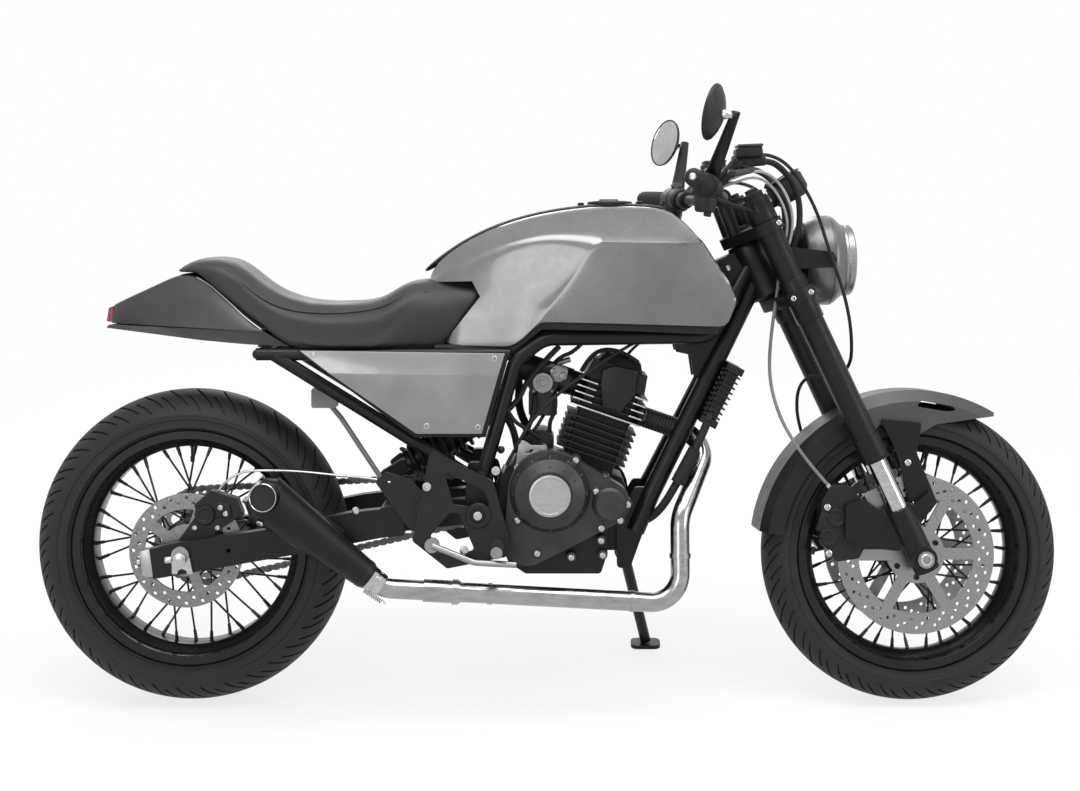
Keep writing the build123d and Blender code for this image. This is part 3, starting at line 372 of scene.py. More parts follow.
def brushedMetal(name, colour, roughness, stretch, scale, bumpiness):
    finish, tree, shader = startFinish(name, colour, roughness, 1.0)
    lines = grain(tree, scale, 4.0, stretch)
    tree.links.new(shade(tree, lines, tinted(colour, 0.82), tinted(colour, 1.12)), shader.inputs["Base Color"])
    tree.links.new(spread(tree, lines, roughness * 0.75, roughness * 1.25), shader.inputs["Roughness"])
    raiseBump(tree, shader, lines, bumpiness, 0.0003, roundedEdges(tree, 0.0008))
    return finish


def rubberOf(name, colour, roughness, pebble, scale):
    finish, tree, shader = startFinish(name, colour, roughness, 0.0, 0.3)
    dust = grain(tree, 14.0, 5.0)
    tree.links.new(shade(tree, dust, tinted(colour, 0.8), tinted(colour, 1.35, 0.002)), shader.inputs["Base Color"])
    tree.links.new(spread(tree, dust, roughness * 0.9, roughness * 1.1), shader.inputs["Roughness"])
    raiseBump(tree, shader, grain(tree, scale, 3.0), pebble, 0.0005)
    return finish


def leatherOf(name, colour):
    finish, tree, shader = startFinish(name, colour, 0.52, 0.0, 0.35)
    pores = addNode(
        tree, "ShaderNodeTexVoronoi", [("Vector", objectPlace(tree)), ("Scale", 420.0), ("Randomness", 1.0)],
    ).outputs["Distance"]
    worn = grain(tree, 11.0, 4.0)
    tree.links.new(shade(tree, worn, tinted(colour, 0.8), tinted(colour, 1.25)), shader.inputs["Base Color"])
    tree.links.new(spread(tree, worn, 0.44, 0.6), shader.inputs["Roughness"])
    shader.inputs["Sheen Weight"].default_value = 0.08
    raiseBump(tree, shader, pores, 0.22, 0.0006)
    return finish


def glassOf(name, colour):
    finish, tree, shader = startFinish(name, colour, 0.03)
    shader.inputs["Transmission Weight"].default_value = 0.92
    shader.inputs["IOR"].default_value = 1.46
    flutes = addNode(
        tree, "ShaderNodeTexWave", [("Vector", objectPlace(tree)), ("Scale", 26.0), ("Distortion", 0.4)],
        bands_direction="Y",
    ).outputs["Fac"]
    raiseBump(tree, shader, flutes, 0.12, 0.0008)
    return finish


finishes = {
    "blackPaint": paintedMetal("satinBlackPaint", (0.006, 0.006, 0.0062), 0.40, 0.0, 0.22, 0.10),
    "rimBlack": paintedMetal("rimBlackPaint", (0.006, 0.006, 0.0062), 0.26, 0.0, 0.28, 0.08),
    "frameBlack": paintedMetal("frameBlackPaint", (0.005, 0.005, 0.0052), 0.34, 0.0, 0.22, 0.10),
    "greyPaint": paintedMetal("satinGreyPaint", (0.048, 0.048, 0.049), 0.40, 0.3, 0.3, 0.15, 0.03),
    # front fender: a lighter grey than the rear fender's dark grey, painted light standing in for the overhead lamp
    # its upper face catches
    "fenderLitGrey": paintedMetal("fenderLitGreyPaint", (0.070, 0.070, 0.0715), 0.38, 0.45, 0.35, 0.12, 0.03),
    "darkGrey": paintedMetal("darkGreyPaint", (0.010, 0.010, 0.0103), 0.40, 0.1, 0.25, 0.12, 0.02),
    "tankSilver": paintedMetal("tankSilverPaint", (0.150, 0.150, 0.152), 0.30, 0.75, 0.4, 0.08, 0.04, 0.9),
    "panelSilver": paintedMetal("panelSilverPaint", (0.23, 0.23, 0.232), 0.32, 0.75, 0.4, 0.08, 0.04, 0.6),
    "lampGrey": paintedMetal("lampGreyPaint", (0.13, 0.13, 0.132), 0.30, 0.5, 0.4, 0.08, 0.03),
    "engineBlack": castMetal("engineBlackCoat", (0.010, 0.010, 0.0103), 0.44, 0.15, 0.28, 0.22),
    "coverBlack": castMetal("coverBlackCoat", (0.036, 0.036, 0.0366), 0.40, 0.45, 0.35, 0.12),
    "finBlack": castMetal("finBlackCoat", (0.009, 0.009, 0.0093), 0.5, 0.15, 0.28, 0.25),
    "castAlloy": castMetal("castAlloy", (0.22, 0.22, 0.217), 0.42, 0.9, 0.5, 0.2),
    "bareAlloy": brushedMetal("machinedAlloy", (0.50, 0.50, 0.50), 0.3, (1, 8, 1), 120.0, 0.04),
    "steel": brushedMetal("brushedSteel", (0.27, 0.27, 0.267), 0.34, (1, 1, 6), 150.0, 0.05),
    "chrome": brushedMetal("polishedSteel", (0.46, 0.46, 0.457), 0.13, (1, 4, 4), 40.0, 0.015),
    "headerSteel": brushedMetal("headerSteel", (0.34, 0.34, 0.337), 0.20, (1, 3, 3), 30.0, 0.02),
    "capAlloy": brushedMetal("brushedCap", (0.38, 0.38, 0.377), 0.36, (1, 1, 14), 90.0, 0.05),
    "boltZinc": brushedMetal("zincPlate", (0.48, 0.48, 0.475), 0.28, (1, 1, 1), 260.0, 0.05),
    "chainSteel": brushedMetal("chainSteel", (0.13, 0.13, 0.128), 0.38, (1, 1, 1), 300.0, 0.08),
    "mirror": brushedMetal("mirrorSilver", (0.78, 0.78, 0.785), 0.03, (1, 1, 1), 20.0, 0.002),
    "rearSteel": brushedMetal("rearDiscSteel", (0.20, 0.20, 0.203), 0.34, (1, 1, 1), 160.0, 0.05),
    "mirrorGlass": brushedMetal("mirrorGlass", (0.44, 0.44, 0.445), 0.03, (1, 1, 1), 20.0, 0.002),
    "tyre": rubberOf("tyreRubber", (0.011, 0.011, 0.0112), 0.62, 0.1, 900.0),
    "rubber": rubberOf("gripRubber", (0.008, 0.008, 0.0082), 0.7, 0.15, 1200.0),
    "plastic": rubberOf("blackPlastic", (0.008, 0.008, 0.0083), 0.48, 0.06, 1500.0),
    "paleCable": rubberOf("paleCableSleeve", (0.30, 0.30, 0.295), 0.5, 0.05, 1500.0),
    "greyPlastic": rubberOf("greyPlastic", (0.16, 0.16, 0.158), 0.42, 0.05, 900.0),
    "redLens": rubberOf("redLensPlastic", (0.20, 0.012, 0.012), 0.16, 0.03, 300.0),
    "thread": rubberOf("seamThread", (0.030, 0.030, 0.0305), 0.7, 0.2, 1800.0),
    "leather": leatherOf("seatLeather", (0.013, 0.013, 0.0133)),
    "lampGlass": glassOf("lampGlass", (0.93, 0.94, 0.95)),
}
print("finishes made:", len(finishes))

# Camera where the photograph was taken: level with the lamp, looking straight across the upright machine
cameraPlace = {"ahead": 0.705, "away": 3.40, "height": 0.910, "focalPx": 1717.0, "axisPx": (551.5, 237.5)}
imageWidth, imageHeight = 1080, 791
cameraData = bpy.data.cameras.new("photoCamera")
cameraData.sensor_width = 36.0
cameraData.lens = cameraPlace["focalPx"] / imageWidth * cameraData.sensor_width
cameraData.shift_x = (imageWidth / 2 - cameraPlace["axisPx"][0]) / imageWidth
cameraData.shift_y = (cameraPlace["axisPx"][1] - imageHeight / 2) / imageWidth
camera = bpy.data.objects.new("photoCamera", cameraData)
bpy.context.scene.collection.objects.link(camera)
bpy.context.scene.camera = camera
lookAcross = Matrix.Rotation(math.radians(90), 4, "X")
standAt = Matrix.Translation((cameraPlace["ahead"], -cameraPlace["away"], cameraPlace["height"]))
camera.matrix_world = upright @ standAt @ lookAcross

# Studio: pale floor, white surround, soft lamps
studio = {
    "floorColour": (0.80, 0.80, 0.80), "floorWhite": 0.78, "horizon": 0.22, "zenith": 0.95, "ground": 0.34,
    "lamps": [
        # name, place, aim, width, depth, watts
        ("overhead", (0.1, -0.7, 3.1), (0.0, -0.1, 0.5), 3.6, 1.6, 95.0),
        ("cameraSide", (-1.6, -3.6, 1.7), (0.0, 0.0, 0.6), 1.8, 1.6, 26.0),
        ("noseSide", (3.0, -1.6, 1.6), (0.4, 0.0, 0.6), 1.2, 1.6, 24.0),
        ("farSide", (-0.6, 3.0, 2.2), (0.0, 0.0, 0.6), 2.4, 1.6, 45.0),
    ],
}


def seenRays(tree):
    # one where a ray shows the white itself: straight, through glass or in a shine
    rays = addNode(tree, "ShaderNodeLightPath")
    through = addNode(
        tree, "ShaderNodeMath", [(0, rays.outputs["Is Camera Ray"]), (1, rays.outputs["Is Transmission Ray"])],
        operation="MAXIMUM",
    )
    shown = addNode(
        tree, "ShaderNodeMath", [(0, through.outputs[0]), (1, rays.outputs["Is Glossy Ray"])], operation="MAXIMUM"
    )
    return shown.outputs[0]


bpy.context.scene.view_settings.view_transform = "Standard"
world = bpy.data.worlds.new("studioSurround")
bpy.context.scene.world = world
world.use_nodes = True
sky = world.node_tree
sky.nodes.clear()
heading = addNode(sky, "ShaderNodeTexCoord").outputs["Generated"]
upFactor = addNode(sky, "ShaderNodeSeparateXYZ", [(0, heading)]).outputs["Z"]
skyRamp = addNode(sky, "ShaderNodeValToRGB", [("Fac", spread(sky, upFactor, 0, 1, -1, 1))])
skyRamp.color_ramp.elements[0].position = 0.0
skyRamp.color_ramp.elements[0].color = (studio["ground"],) * 3 + (1,)
skyRamp.color_ramp.elements[1].position = 1.0
skyRamp.color_ramp.elements[1].color = (studio["zenith"],) * 3 + (1,)
horizonStop = skyRamp.color_ramp.elements.new(0.52)
horizonStop.color = (studio["horizon"],) * 3 + (1,)
riseStop = skyRamp.color_ramp.elements.new(0.70)
riseStop.color = (studio["horizon"] * 1.6,) * 3 + (1,)
litSky = addNode(sky, "ShaderNodeBackground", [("Color", skyRamp.outputs["Color"]), ("Strength", 1.0)])
whiteSky = addNode(sky, "ShaderNodeBackground", [("Color", (1, 1, 1, 1)), ("Strength", 1.0)])
skyMix = addNode(
    sky, "ShaderNodeMixShader",
    [("Fac", seenRays(sky)), (1, litSky.outputs[0]), (2, whiteSky.outputs[0])],
)
addNode(sky, "ShaderNodeOutputWorld", [("Surface", skyMix.outputs[0])])

for name, at, target, width, depth, watts in studio["lamps"]:
    light = bpy.data.lights.new(name, "AREA")
    light.shape = "RECTANGLE"
    light.size, light.size_y, light.energy = width, depth, watts
    holder = bpy.data.objects.new(name, light)
    bpy.context.scene.collection.objects.link(holder)
    holder.location = at
    holder.rotation_euler = (Vector(target) - Vector(at)).to_track_quat("-Z", "Y").to_euler()

bpy.ops.mesh.primitive_plane_add(size=40.0)
floor = bpy.context.object
floor.name = "studioFloor"
floorFinish, floorTree, floorShader = startFinish("paleFloor", studio["floorColour"], 0.85, 0.0, 0.2)
floorGlow = addNode(floorTree, "ShaderNodeEmission", [("Color", (1, 1, 1, 1)), ("Strength", 1.0)])
floorReach = addNode(
    floorTree, "ShaderNodeVectorMath", [(0, objectPlace(floorTree))], operation="LENGTH",
).outputs["Value"]
floorFade = spread(floorTree, floorReach, studio["floorWhite"], 1.0, 1.6, 3.4)
floorShare = addNode(
    floorTree, "ShaderNodeMath", [(0, seenRays(floorTree)), (1, floorFade)], operation="MULTIPLY"
)
floorMix = addNode(
    floorTree, "ShaderNodeMixShader",
    [("Fac", floorShare.outputs[0]), (1, floorShader.outputs[0]), (2, floorGlow.outputs[0])],
)
floorTree.links.new(floorMix.outputs[0], floorTree.nodes["Material Output"].inputs["Surface"])
floor.data.materials.append(floorFinish)
print("camera and studio set")

# Finish of each piece that keeps its solid
nodeFinish = {
    "frame": "frameBlack", "swingarm": "blackPaint", "swing_pivot": "steel", "rear_axle": "steel",
    "rear_shock": "blackPaint", "chain": "chainSteel", "rear_caliper": "engineBlack", "engine_case": "engineBlack",
    "clutch_cover": "coverBlack", "alternator_cover": "coverBlack", "engine_cylinder": "finBlack",
    "engine_head": "finBlack", "carburettor": "coverBlack", "oil_cooler": "engineBlack",
    "exhaust_header": "headerSteel", "muffler": "blackPaint", "fuel_tank": "tankSilver", "tank_strip": "plastic",
    "seat": "leather", "tail_cowl": "greyPaint", "tail_tray": "greyPaint", "tail_lamp": "redLens",
    "side_panels": "panelSilver", "rearset_plates": "darkGrey", "foot_controls": "steel",
    "fluid_reservoir": "greyPlastic", "rear_tyre": "tyre", "rear_wire_wheel": "blackPaint",
    "rear_disc": "rearSteel",
    "rear_sprocket": "steel", "side_stand": "blackPaint", "lower_yoke": "blackPaint", "top_yoke": "blackPaint",
    "fork_legs": "blackPaint", "fork_stanchions": "chrome", "fork_feet": "blackPaint", "front_axle": "steel",
    "handlebar": "blackPaint", "grips": "rubber", "bar_controls": "engineBlack", "mirrors": "plastic",
    "headlight_shell": "lampGrey", "headlight_lens": "lampGlass", "headlight_ears": "blackPaint",
    # the front fender takes the lighter, painted-light grey and the rear fender the dark grey, as lit and shaded
    # copies of one paint
    "instrument": "plastic", "fender_front": "fenderLitGrey", "fender_rear": "darkGrey", "fender_stays": "blackPaint",
    "front_calipers": "engineBlack", "brake_hoses": "rubber", "front_tyre": "tyre",
    "front_wire_wheel": "blackPaint", "front_discs": "steel",
}
for nodeName, finishName in nodeFinish.items():
    nodes[nodeName].data.materials.clear()
    nodes[nodeName].data.materials.append(finishes[finishName])
print("solids finished:", len(nodeFinish))

# Wheels: tyres with cut tread, rims, laced spokes and hubs
wheels = {
    "front": {
        "axle": frontAxle, "body": "front_wheel", "half": 0.055, "height": 0.077, "rimHalf": 0.038,
        "flange": (0.046, 0.034), "rimY": 0.005, "hub": 0.026, "discY": 0.058, "carrier": 0.036, "valveDeg": 78,
    },
    "rear": {
        "axle": rearAxle, "body": "rear_wheel", "half": 0.075, "height": 0.090, "rimHalf": 0.054,
        "flange": (0.050, 0.040), "rimY": 0.010, "hub": 0.032, "discY": 0.082, "carrier": 0.042, "valveDeg": 92,
    },
}
tread = {"blocks": 36, "perBlock": 10, "depth": 0.0036, "lead": 0.062, "inner": 0.10, "outer": 0.86}
rimSeat, rimLip, rimFlange = 0.2159, 0.013, 0.005
spokes = {"count": 36, "leadDeg": 40, "wire": 0.0021, "nipple": (0.0030, 0.0040), "head": 0.0042, "stagger": 0.003}


def treadTwist(y, half, radius):
    share = min(1.0, max(0.0, abs(y) / half))
    return tread["lead"] / radius * share ** 1.5


def cutTyre(wheel):
    half, height, bead = wheel["half"], wheel["height"], wheel["rimHalf"] - 0.0003
    top, wide, lip = rimSeat + height, rimSeat + height / 2, rimSeat + rimLip
    arc = (half ** 2 + (height / 2) ** 2) / height
    reach = math.asin(half / arc)
    crown = [
        (arc * math.sin(reach * (n / 9 - 1)), top - arc + arc * math.cos(reach * (n / 9 - 1))) for n in range(19)
    ]
    wall = [
        (half - 0.0004, wide - 0.07 * height), (half + 0.0006, wide - 0.085 * height),
        (half - 0.0012, wide - 0.105 * height), (half - 0.003, wide - 0.26 * height),
        (half - 0.0024, wide - 0.275 * height), (half - 0.0052, wide - 0.30 * height),
        (wheel["rimHalf"] + 0.0065, lip + 0.0075), (wheel["rimHalf"] + 0.0055, lip + 0.0025),
        (bead, lip + 0.001), (bead, rimSeat + 0.0003), (bead - 0.009, rimSeat + 0.0003),
    ]
    outline = [(-y, r) for y, r in reversed(wall)] + crown + wall + [(-wall[-1][0], wall[-1][1])]
    rows = [(y, r, treadTwist(y, half, top)) for y, r in outline]
    steps = tread["blocks"] * tread["perBlock"]
    tyre = lathe(rows, wheel["axle"], (0, 1, 0), steps, side=(1, 0, 0))
    openEdit(tyre, "DESELECT")
    bpy.ops.mesh.select_mode(type="FACE")
    mesh = bmesh.from_edit_mesh(tyre.data)
    for face in mesh.faces:
        middle = face.calc_center_median() - wheel["axle"]
        share = abs(middle.y) / half
        turn = math.atan2(-middle.z, middle.x) - treadTwist(middle.y, half, top)
        column = int(turn % math.tau / math.tau * steps) % tread["perBlock"]
        crownSide = middle.xz.length > wide
        long = tread["inner"] < share < tread["outer"] and column == (0 if middle.y < 0 else 5)
        short = 0.52 < share < 0.95 and column == (4 if middle.y < 0 else 9)
        face.select_set(crownSide and (long or short))
    bmesh.update_edit_mesh(tyre.data)
    bpy.ops.mesh.extrude_region_shrink_fatten(TRANSFORM_OT_shrink_fatten={"value": -tread["depth"]})
    bpy.ops.mesh.select_mode(type="VERT")
    closeEdit()
    return tyre


def laceWheel(wheel):
    axle, rimHalf = wheel["axle"], wheel["rimHalf"]
    lip = rimSeat + rimLip
    edge = [
        (rimHalf - 0.028, rimSeat - 0.014), (rimHalf - 0.018, rimSeat - 0.001), (rimHalf, rimSeat),
        (rimHalf, lip - 0.0015), (rimHalf + 0.0015, lip), (rimHalf + rimFlange - 0.0015, lip),
        (rimHalf + rimFlange, lip - 0.0015), (rimHalf + rimFlange, rimSeat - 0.0035),
        (rimHalf + rimFlange - 0.0015, rimSeat - 0.005), (rimHalf - 0.014, rimSeat - 0.007),
        (rimHalf - 0.025, rimSeat - 0.020), (rimHalf - 0.029, rimSeat - 0.0215),
    ]
    loop = edge + [(-y, r) for y, r in reversed(edge)]
    parts = [lathe(loop + loop[:1], axle, (0, 1, 0), 120)]
    flangeR, flangeY = wheel["flange"]
    hub, discY, carrier = wheel["hub"], wheel["discY"], wheel["carrier"]
    halfHub = [
        (0.0, hub), (flangeY - 0.014, hub), (flangeY - 0.006, hub + 0.007), (flangeY - 0.004, flangeR + 0.004),
        (flangeY - 0.003, flangeR + 0.006), (flangeY + 0.003, flangeR + 0.006), (flangeY + 0.004, flangeR + 0.004),
        (flangeY + 0.005, hub + 0.004), (discY - 0.012, hub + 0.003), (discY - 0.010, carrier), (discY, carrier),
        (discY, 0.0108),
    ]
    hubLoop = [(-y, r) for y, r in reversed(halfHub[1:])] + halfHub
    parts.append(lathe(hubLoop + hubLoop[:1], axle, (0, 1, 0), 64))
    tipReach, leadTurn = rimSeat - 0.0195, math.radians(spokes["leadDeg"])
    for lead in (-1, 1):
        foot0 = Vector((flangeR, 0, 0))
        tip0 = onCircle(0, 0, tipReach, leadTurn)
        length = (tip0 - foot0 + Vector((0, wheel["rimY"] - flangeY - spokes["stagger"] * lead, 0))).length
        wire = rod((0, 0, 0), (0, 0, length - 0.006), spokes["wire"], 8)
        nipple = rod((0, 0, length - 0.022), (0, 0, length), spokes["nipple"][0], 8, 0, spokes["nipple"][1])
        head = rod((0, 0, -0.004), (0, 0, 0.003), spokes["head"], 8)
        spoke = together([wire, nipple, head])
        for number in range(spokes["count"]):
            if (1 if number // 2 % 2 else -1) != lead:
                continue
            side = 1 if number % 2 else -1
            angle = math.tau * number / spokes["count"]
            tipAngle = angle + leadTurn * lead
            foot = axle + onCircle(0, 0, flangeR, angle, side * (flangeY + spokes["stagger"] * lead))
            tip = axle + onCircle(0, 0, tipReach, tipAngle, side * wheel["rimY"])
            parts.append(copyTo(spoke, aim(foot, tip - foot)))
        discard(spoke)
    valve = math.radians(wheel["valveDeg"])
    inward = Vector((-math.cos(valve), 0, -math.sin(valve)))
    stemFoot = axle - inward * (rimSeat - 0.016)
    parts.append(rod(stemFoot, stemFoot + inward * 0.012, 0.0055, 12, 0, 0.0035))
    parts.append(rod(stemFoot + inward * 0.010, stemFoot + inward * 0.034, 0.0030, 12, 0.0008))
    parts.append(rod(stemFoot + inward * 0.028, stemFoot + inward * 0.040, 0.0042, 12, 0.001))
    return together(parts)


for end, wheel in wheels.items():
    settle(cutTyre(wheel), end + "Tyre", wheel["body"], "tyre", "tyre", 32, end + "_tyre")
    settle(laceWheel(wheel), end + "WireWheel", wheel["body"], "rimBlack", "black_paint", 30, end + "_wire_wheel")
print("wheels laced")


def skin(rows, creaseRows, creaseColumns, levels):
    # each row is drawn out of the one before it and its corners put in place
    piece = drawLine(rows[0])
    bpy.ops.mesh.select_all(action="SELECT")
    for before, after in zip(rows, rows[1:]):
        bpy.ops.mesh.extrude_region_move()
        mesh = bmesh.from_edit_mesh(piece.data)
        for corner in [v for v in mesh.verts if v.select]:
            nearest = min(range(len(before)), key=lambda n: (Vector(before[n]) - corner.co).length)
            corner.co = after[nearest]
        bmesh.update_edit_mesh(piece.data)
    mesh = bmesh.from_edit_mesh(piece.data)
    layer = mesh.edges.layers.float.get("crease_edge") or mesh.edges.layers.float.new("crease_edge")
    spots = {}
    for r, row in enumerate(rows):
        for c, point in enumerate(row):
            spots[tuple(round(v, 5) for v in point)] = (r, c)
    for seam in mesh.edges:
        (r1, c1), (r2, c2) = [spots[tuple(round(v, 5) for v in corner.co)] for corner in seam.verts]
        for row, first, last, weight in creaseRows:
            if r1 == r2 == row and first <= min(c1, c2) and max(c1, c2) <= last:
                seam[layer] = weight
        for column, first, last, weight in creaseColumns:
            if c1 == c2 == column and first <= min(r1, r2) and max(r1, r2) <= last:
                seam[layer] = weight
    bmesh.update_edit_mesh(piece.data)
    closeEdit()
    modify(piece, "MIRROR", use_axis=(False, True, False), use_clip=True, merge_threshold=0.0003)
    openEdit(piece)
    bpy.ops.mesh.fill_holes(sides=0)
    closeEdit()
    return modify(piece, "SUBSURF", levels=levels, render_levels=levels)


def cutAway(piece, outline, yFrom, yTo):
    knife = plate(outline, yFrom, yTo)
    modify(piece, "BOOLEAN", object=knife, operation="DIFFERENCE", solver="EXACT")
    discard(knife)
    return piece


# Tank: rows from the seat to the fork, each from the ridge down to the lower edge
tankShape = {
    "rows": [
        [
            (0.4418, -0.040, 0.8327), (0.4474, -0.062, 0.8196), (0.4588, -0.084, 0.7893), (0.4709, -0.092, 0.7588),
            (0.475, -0.096, 0.7012),
        ],
        [
            (0.536, -0.046, 0.9051), (0.5516, -0.086, 0.8666), (0.5562, -0.104, 0.8092), (0.5547, -0.112, 0.7635),
            (0.5451, -0.112, 0.7022),
        ],
        [
            (0.6201, -0.050, 0.9402), (0.6273, -0.106, 0.8994), (0.6294, -0.111, 0.8286), (0.6199, -0.118, 0.7657),
            (0.6066, -0.118, 0.7007),
        ],
        [
            (0.6982, -0.054, 0.9597), (0.6964, -0.124, 0.9148), (0.6754, -0.117, 0.8288), (0.6582, -0.122, 0.7668),
            (0.6334, -0.120, 0.7008),
        ],
        [
            (0.7750, -0.056, 0.9688), (0.7720, -0.137, 0.9062), (0.7260, -0.130, 0.8240), (0.6840, -0.130, 0.7705),
            (0.6640, -0.128, 0.7300),
        ],
        [
            (0.8072, -0.056, 0.9704), (0.7933, -0.141, 0.9034), (0.742, -0.138, 0.8236), (0.6983, -0.134, 0.7721),
            (0.6831, -0.131, 0.7491),
        ],
        [
            (0.8774, -0.056, 0.9713), (0.8728, -0.144, 0.9005), (0.8576, -0.146, 0.820), (0.8502, -0.142, 0.7629),
            (0.8466, -0.136, 0.7456),
        ],
        [
            (0.932, -0.055, 0.9655), (0.9682, -0.137, 0.8995), (1.0097, -0.140, 0.8198), (1.0293, -0.134, 0.7626),
            (1.0299, -0.128, 0.7394),
        ],
        [
            (0.9715, -0.048, 0.9364), (0.9958, -0.126, 0.9014), (1.045, -0.130, 0.8253), (1.0663, -0.126, 0.7927),
            (1.0403, -0.120, 0.739),
        ],
    ],
    "seatCut": [(0.400, 0.8215), (0.552, 0.8258), (0.568, 0.7965), (0.496, 0.7052), (0.496, 0.600), (0.400, 0.600)],
    "neckCut": [(0.960, 0.680), (0.960, 0.880), (1.150, 0.940), (1.150, 0.680)],
}
tankRows = []
for ridge, *side in tankShape["rows"]:
    lower = side[-1]
    tankRows.append(
        [(ridge[0], 0.0, ridge[2] + 0.0015), ridge, *side]
        + [(lower[0], lower[1] * 0.8, lower[2] - 0.002), (lower[0], 0.0, lower[2] - 0.002)]
    )
tank = skin(
    tankRows, [(5, 2, 5, 0.72), (8, 1, 5, 0.8)],
    [(1, 0, 8, 0.55), (2, 0, 5, 0.42), (2, 5, 8, 0.80), (4, 0, 5, 0.70), (5, 0, 8, 0.92)], 3,
)
cutAway(tank, tankShape["seatCut"], -0.2, 0.2)
cutAway(tank, tankShape["neckCut"], -0.084, 0.084)
settle(tank, "fuelTank", "chassis", "tankSilver", "silver_paint", 24, "fuel_tank")

# Tail cowl with its hump and sloped seat edge
tailShape = {
    "rows": [
        (-0.1532, 0.779, 0.743, 0.034, 0.050), (-0.1345, 0.788, 0.7425, 0.052, 0.066),
        (-0.051, 0.8255, 0.7385, 0.066, 0.092), (-0.017, 0.8412, 0.7375, 0.072, 0.100),
        (0.020, 0.8412, 0.7355, 0.076, 0.106), (0.085, 0.8000, 0.7330, 0.090, 0.115),
        (0.152, 0.7405, 0.7305, 0.100, 0.124),
    ],
    "seatCut": [(-0.060, 0.8414), (0.0195, 0.8414), (0.300, 0.6197), (0.300, 1.0), (-0.060, 1.0)],
}
cowlRows = []
for x, top, bottom, topY, sideY in tailShape["rows"]:
    middle = (top + bottom) / 2
    cowlRows.append([
        (x, 0.0, top + 0.001), (x, -topY * 0.7, top), (x, -topY, top - 0.003),
        (x, -(topY + sideY) / 2 - 0.004, middle),
        (x, -sideY, bottom), (x, -sideY * 0.6, bottom), (x, 0.0, bottom),
    ])
cowl = skin(cowlRows, [(0, 0, 6, 0.8), (6, 0, 6, 1.0)], [(2, 0, 6, 0.55), (4, 0, 6, 0.95)], 2)
cutAway(cowl, tailShape["seatCut"], -0.2, 0.2)
settle(cowl, "tailCowl", "chassis", "greyPaint", "dark_grey", 28, "tail_cowl")

# Seat: skinned, swollen by cloth pressure, then sewn
seatShape = {
    "rows": [
        # x, top, bottom, topY, sideY, shoulder drop
        (-0.026, 0.8470, 0.8420, 0.052, 0.066, 0.003), (-0.010, 0.8600, 0.8420, 0.062, 0.080, 0.010),
        (0.020, 0.8715, 0.8420, 0.070, 0.092, 0.018), (0.060, 0.8735, 0.8100, 0.078, 0.103, 0.024),
        (0.092, 0.8605, 0.7850, 0.083, 0.109, 0.026), (0.124, 0.8340, 0.7600, 0.087, 0.114, 0.028),
        (0.160, 0.8060, 0.7330, 0.090, 0.118, 0.029), (0.200, 0.7895, 0.7010, 0.094, 0.124, 0.030),
        (0.250, 0.7790, 0.6992, 0.096, 0.128, 0.029), (0.330, 0.7795, 0.6992, 0.096, 0.129, 0.029),
        (0.376, 0.7870, 0.6992, 0.093, 0.128, 0.030), (0.404, 0.8070, 0.6992, 0.087, 0.124, 0.031),
        (0.428, 0.8205, 0.6992, 0.080, 0.119, 0.031), (0.450, 0.8242, 0.6992, 0.076, 0.114, 0.030),
        (0.566, 0.8270, 0.6992, 0.068, 0.102, 0.026),
    ],
    "tankCut": [
        (0.430, 0.8250), (0.5510, 0.8290), (0.5668, 0.7980), (0.4948, 0.7045), (0.4948, 0.600), (0.700, 0.600),
        (0.700, 1.0), (0.430, 1.0),
    ],
    "tailCut": [(-0.060, 0.8424), (0.0203, 0.8424), (0.2025, 0.6984), (0.2025, 0.600), (-0.060, 0.600)],
    "voxel": 0.005, "pressure": 4.0, "cap": 0.006, "frames": 20,
}
seatRows = []
for x, top, bottom, topY, sideY, drop in seatShape["rows"]:
    low = max(bottom, 0.6992)
    shoulder = max(top - drop, low + 0.002)
    seatRows.append([
        (x, 0.0, top - 0.001), (x, -topY * 0.55, top - 0.0015), (x, -topY, top - 0.004),
        (x, -sideY + 0.003, shoulder),
        (x, -sideY, (shoulder + low) / 2), (x, -sideY + 0.002, low), (x, -sideY * 0.5, low - 0.0002),
        (x, 0.0, low - 0.0002),
    ])
seat = skin(seatRows, [(0, 0, 7, 0.7), (14, 0, 7, 1.0)], [(3, 0, 14, 0.35), (5, 0, 14, 0.9)], 2)
cutAway(seat, seatShape["tankCut"], -0.2, 0.2)
cutAway(seat, seatShape["tailCut"], -0.2, 0.2)
modify(seat, "REMESH", mode="VOXEL", voxel_size=seatShape["voxel"], use_smooth_shade=True)
pick(seat)
before = [corner.co.copy() for corner in seat.data.vertices]
held = seat.vertex_groups.new(name="held")
held.add([c.index for c in seat.data.vertices if c.normal.z < -0.35 or abs(c.normal.x) > 0.9], 1.0, "REPLACE")
swell = seat.modifiers.new("swell", "CLOTH")
swell.settings.use_pressure = True
swell.settings.uniform_pressure_force = seatShape["pressure"]
swell.settings.effector_weights.gravity = 0
swell.settings.vertex_group_mass = "held"
swell.point_cache.frame_end = seatShape["frames"]
for number in range(1, seatShape["frames"] + 1):
    bpy.context.scene.frame_set(number)
bpy.ops.object.modifier_apply(modifier="swell")
for corner, start in zip(seat.data.vertices, before):
    move = corner.co - start
    if move.length > seatShape["cap"]:
        corner.co = start + move.normalized() * seatShape["cap"]
bpy.context.scene.frame_set(1)
modify(seat, "SMOOTH", factor=0.6, iterations=8)
modify(seat, "SUBSURF", levels=1, render_levels=1)
settle(seat, "seatPad", "chassis", "leather", "seat", 60, "seat")
print("tank, cowl and seat shaped")


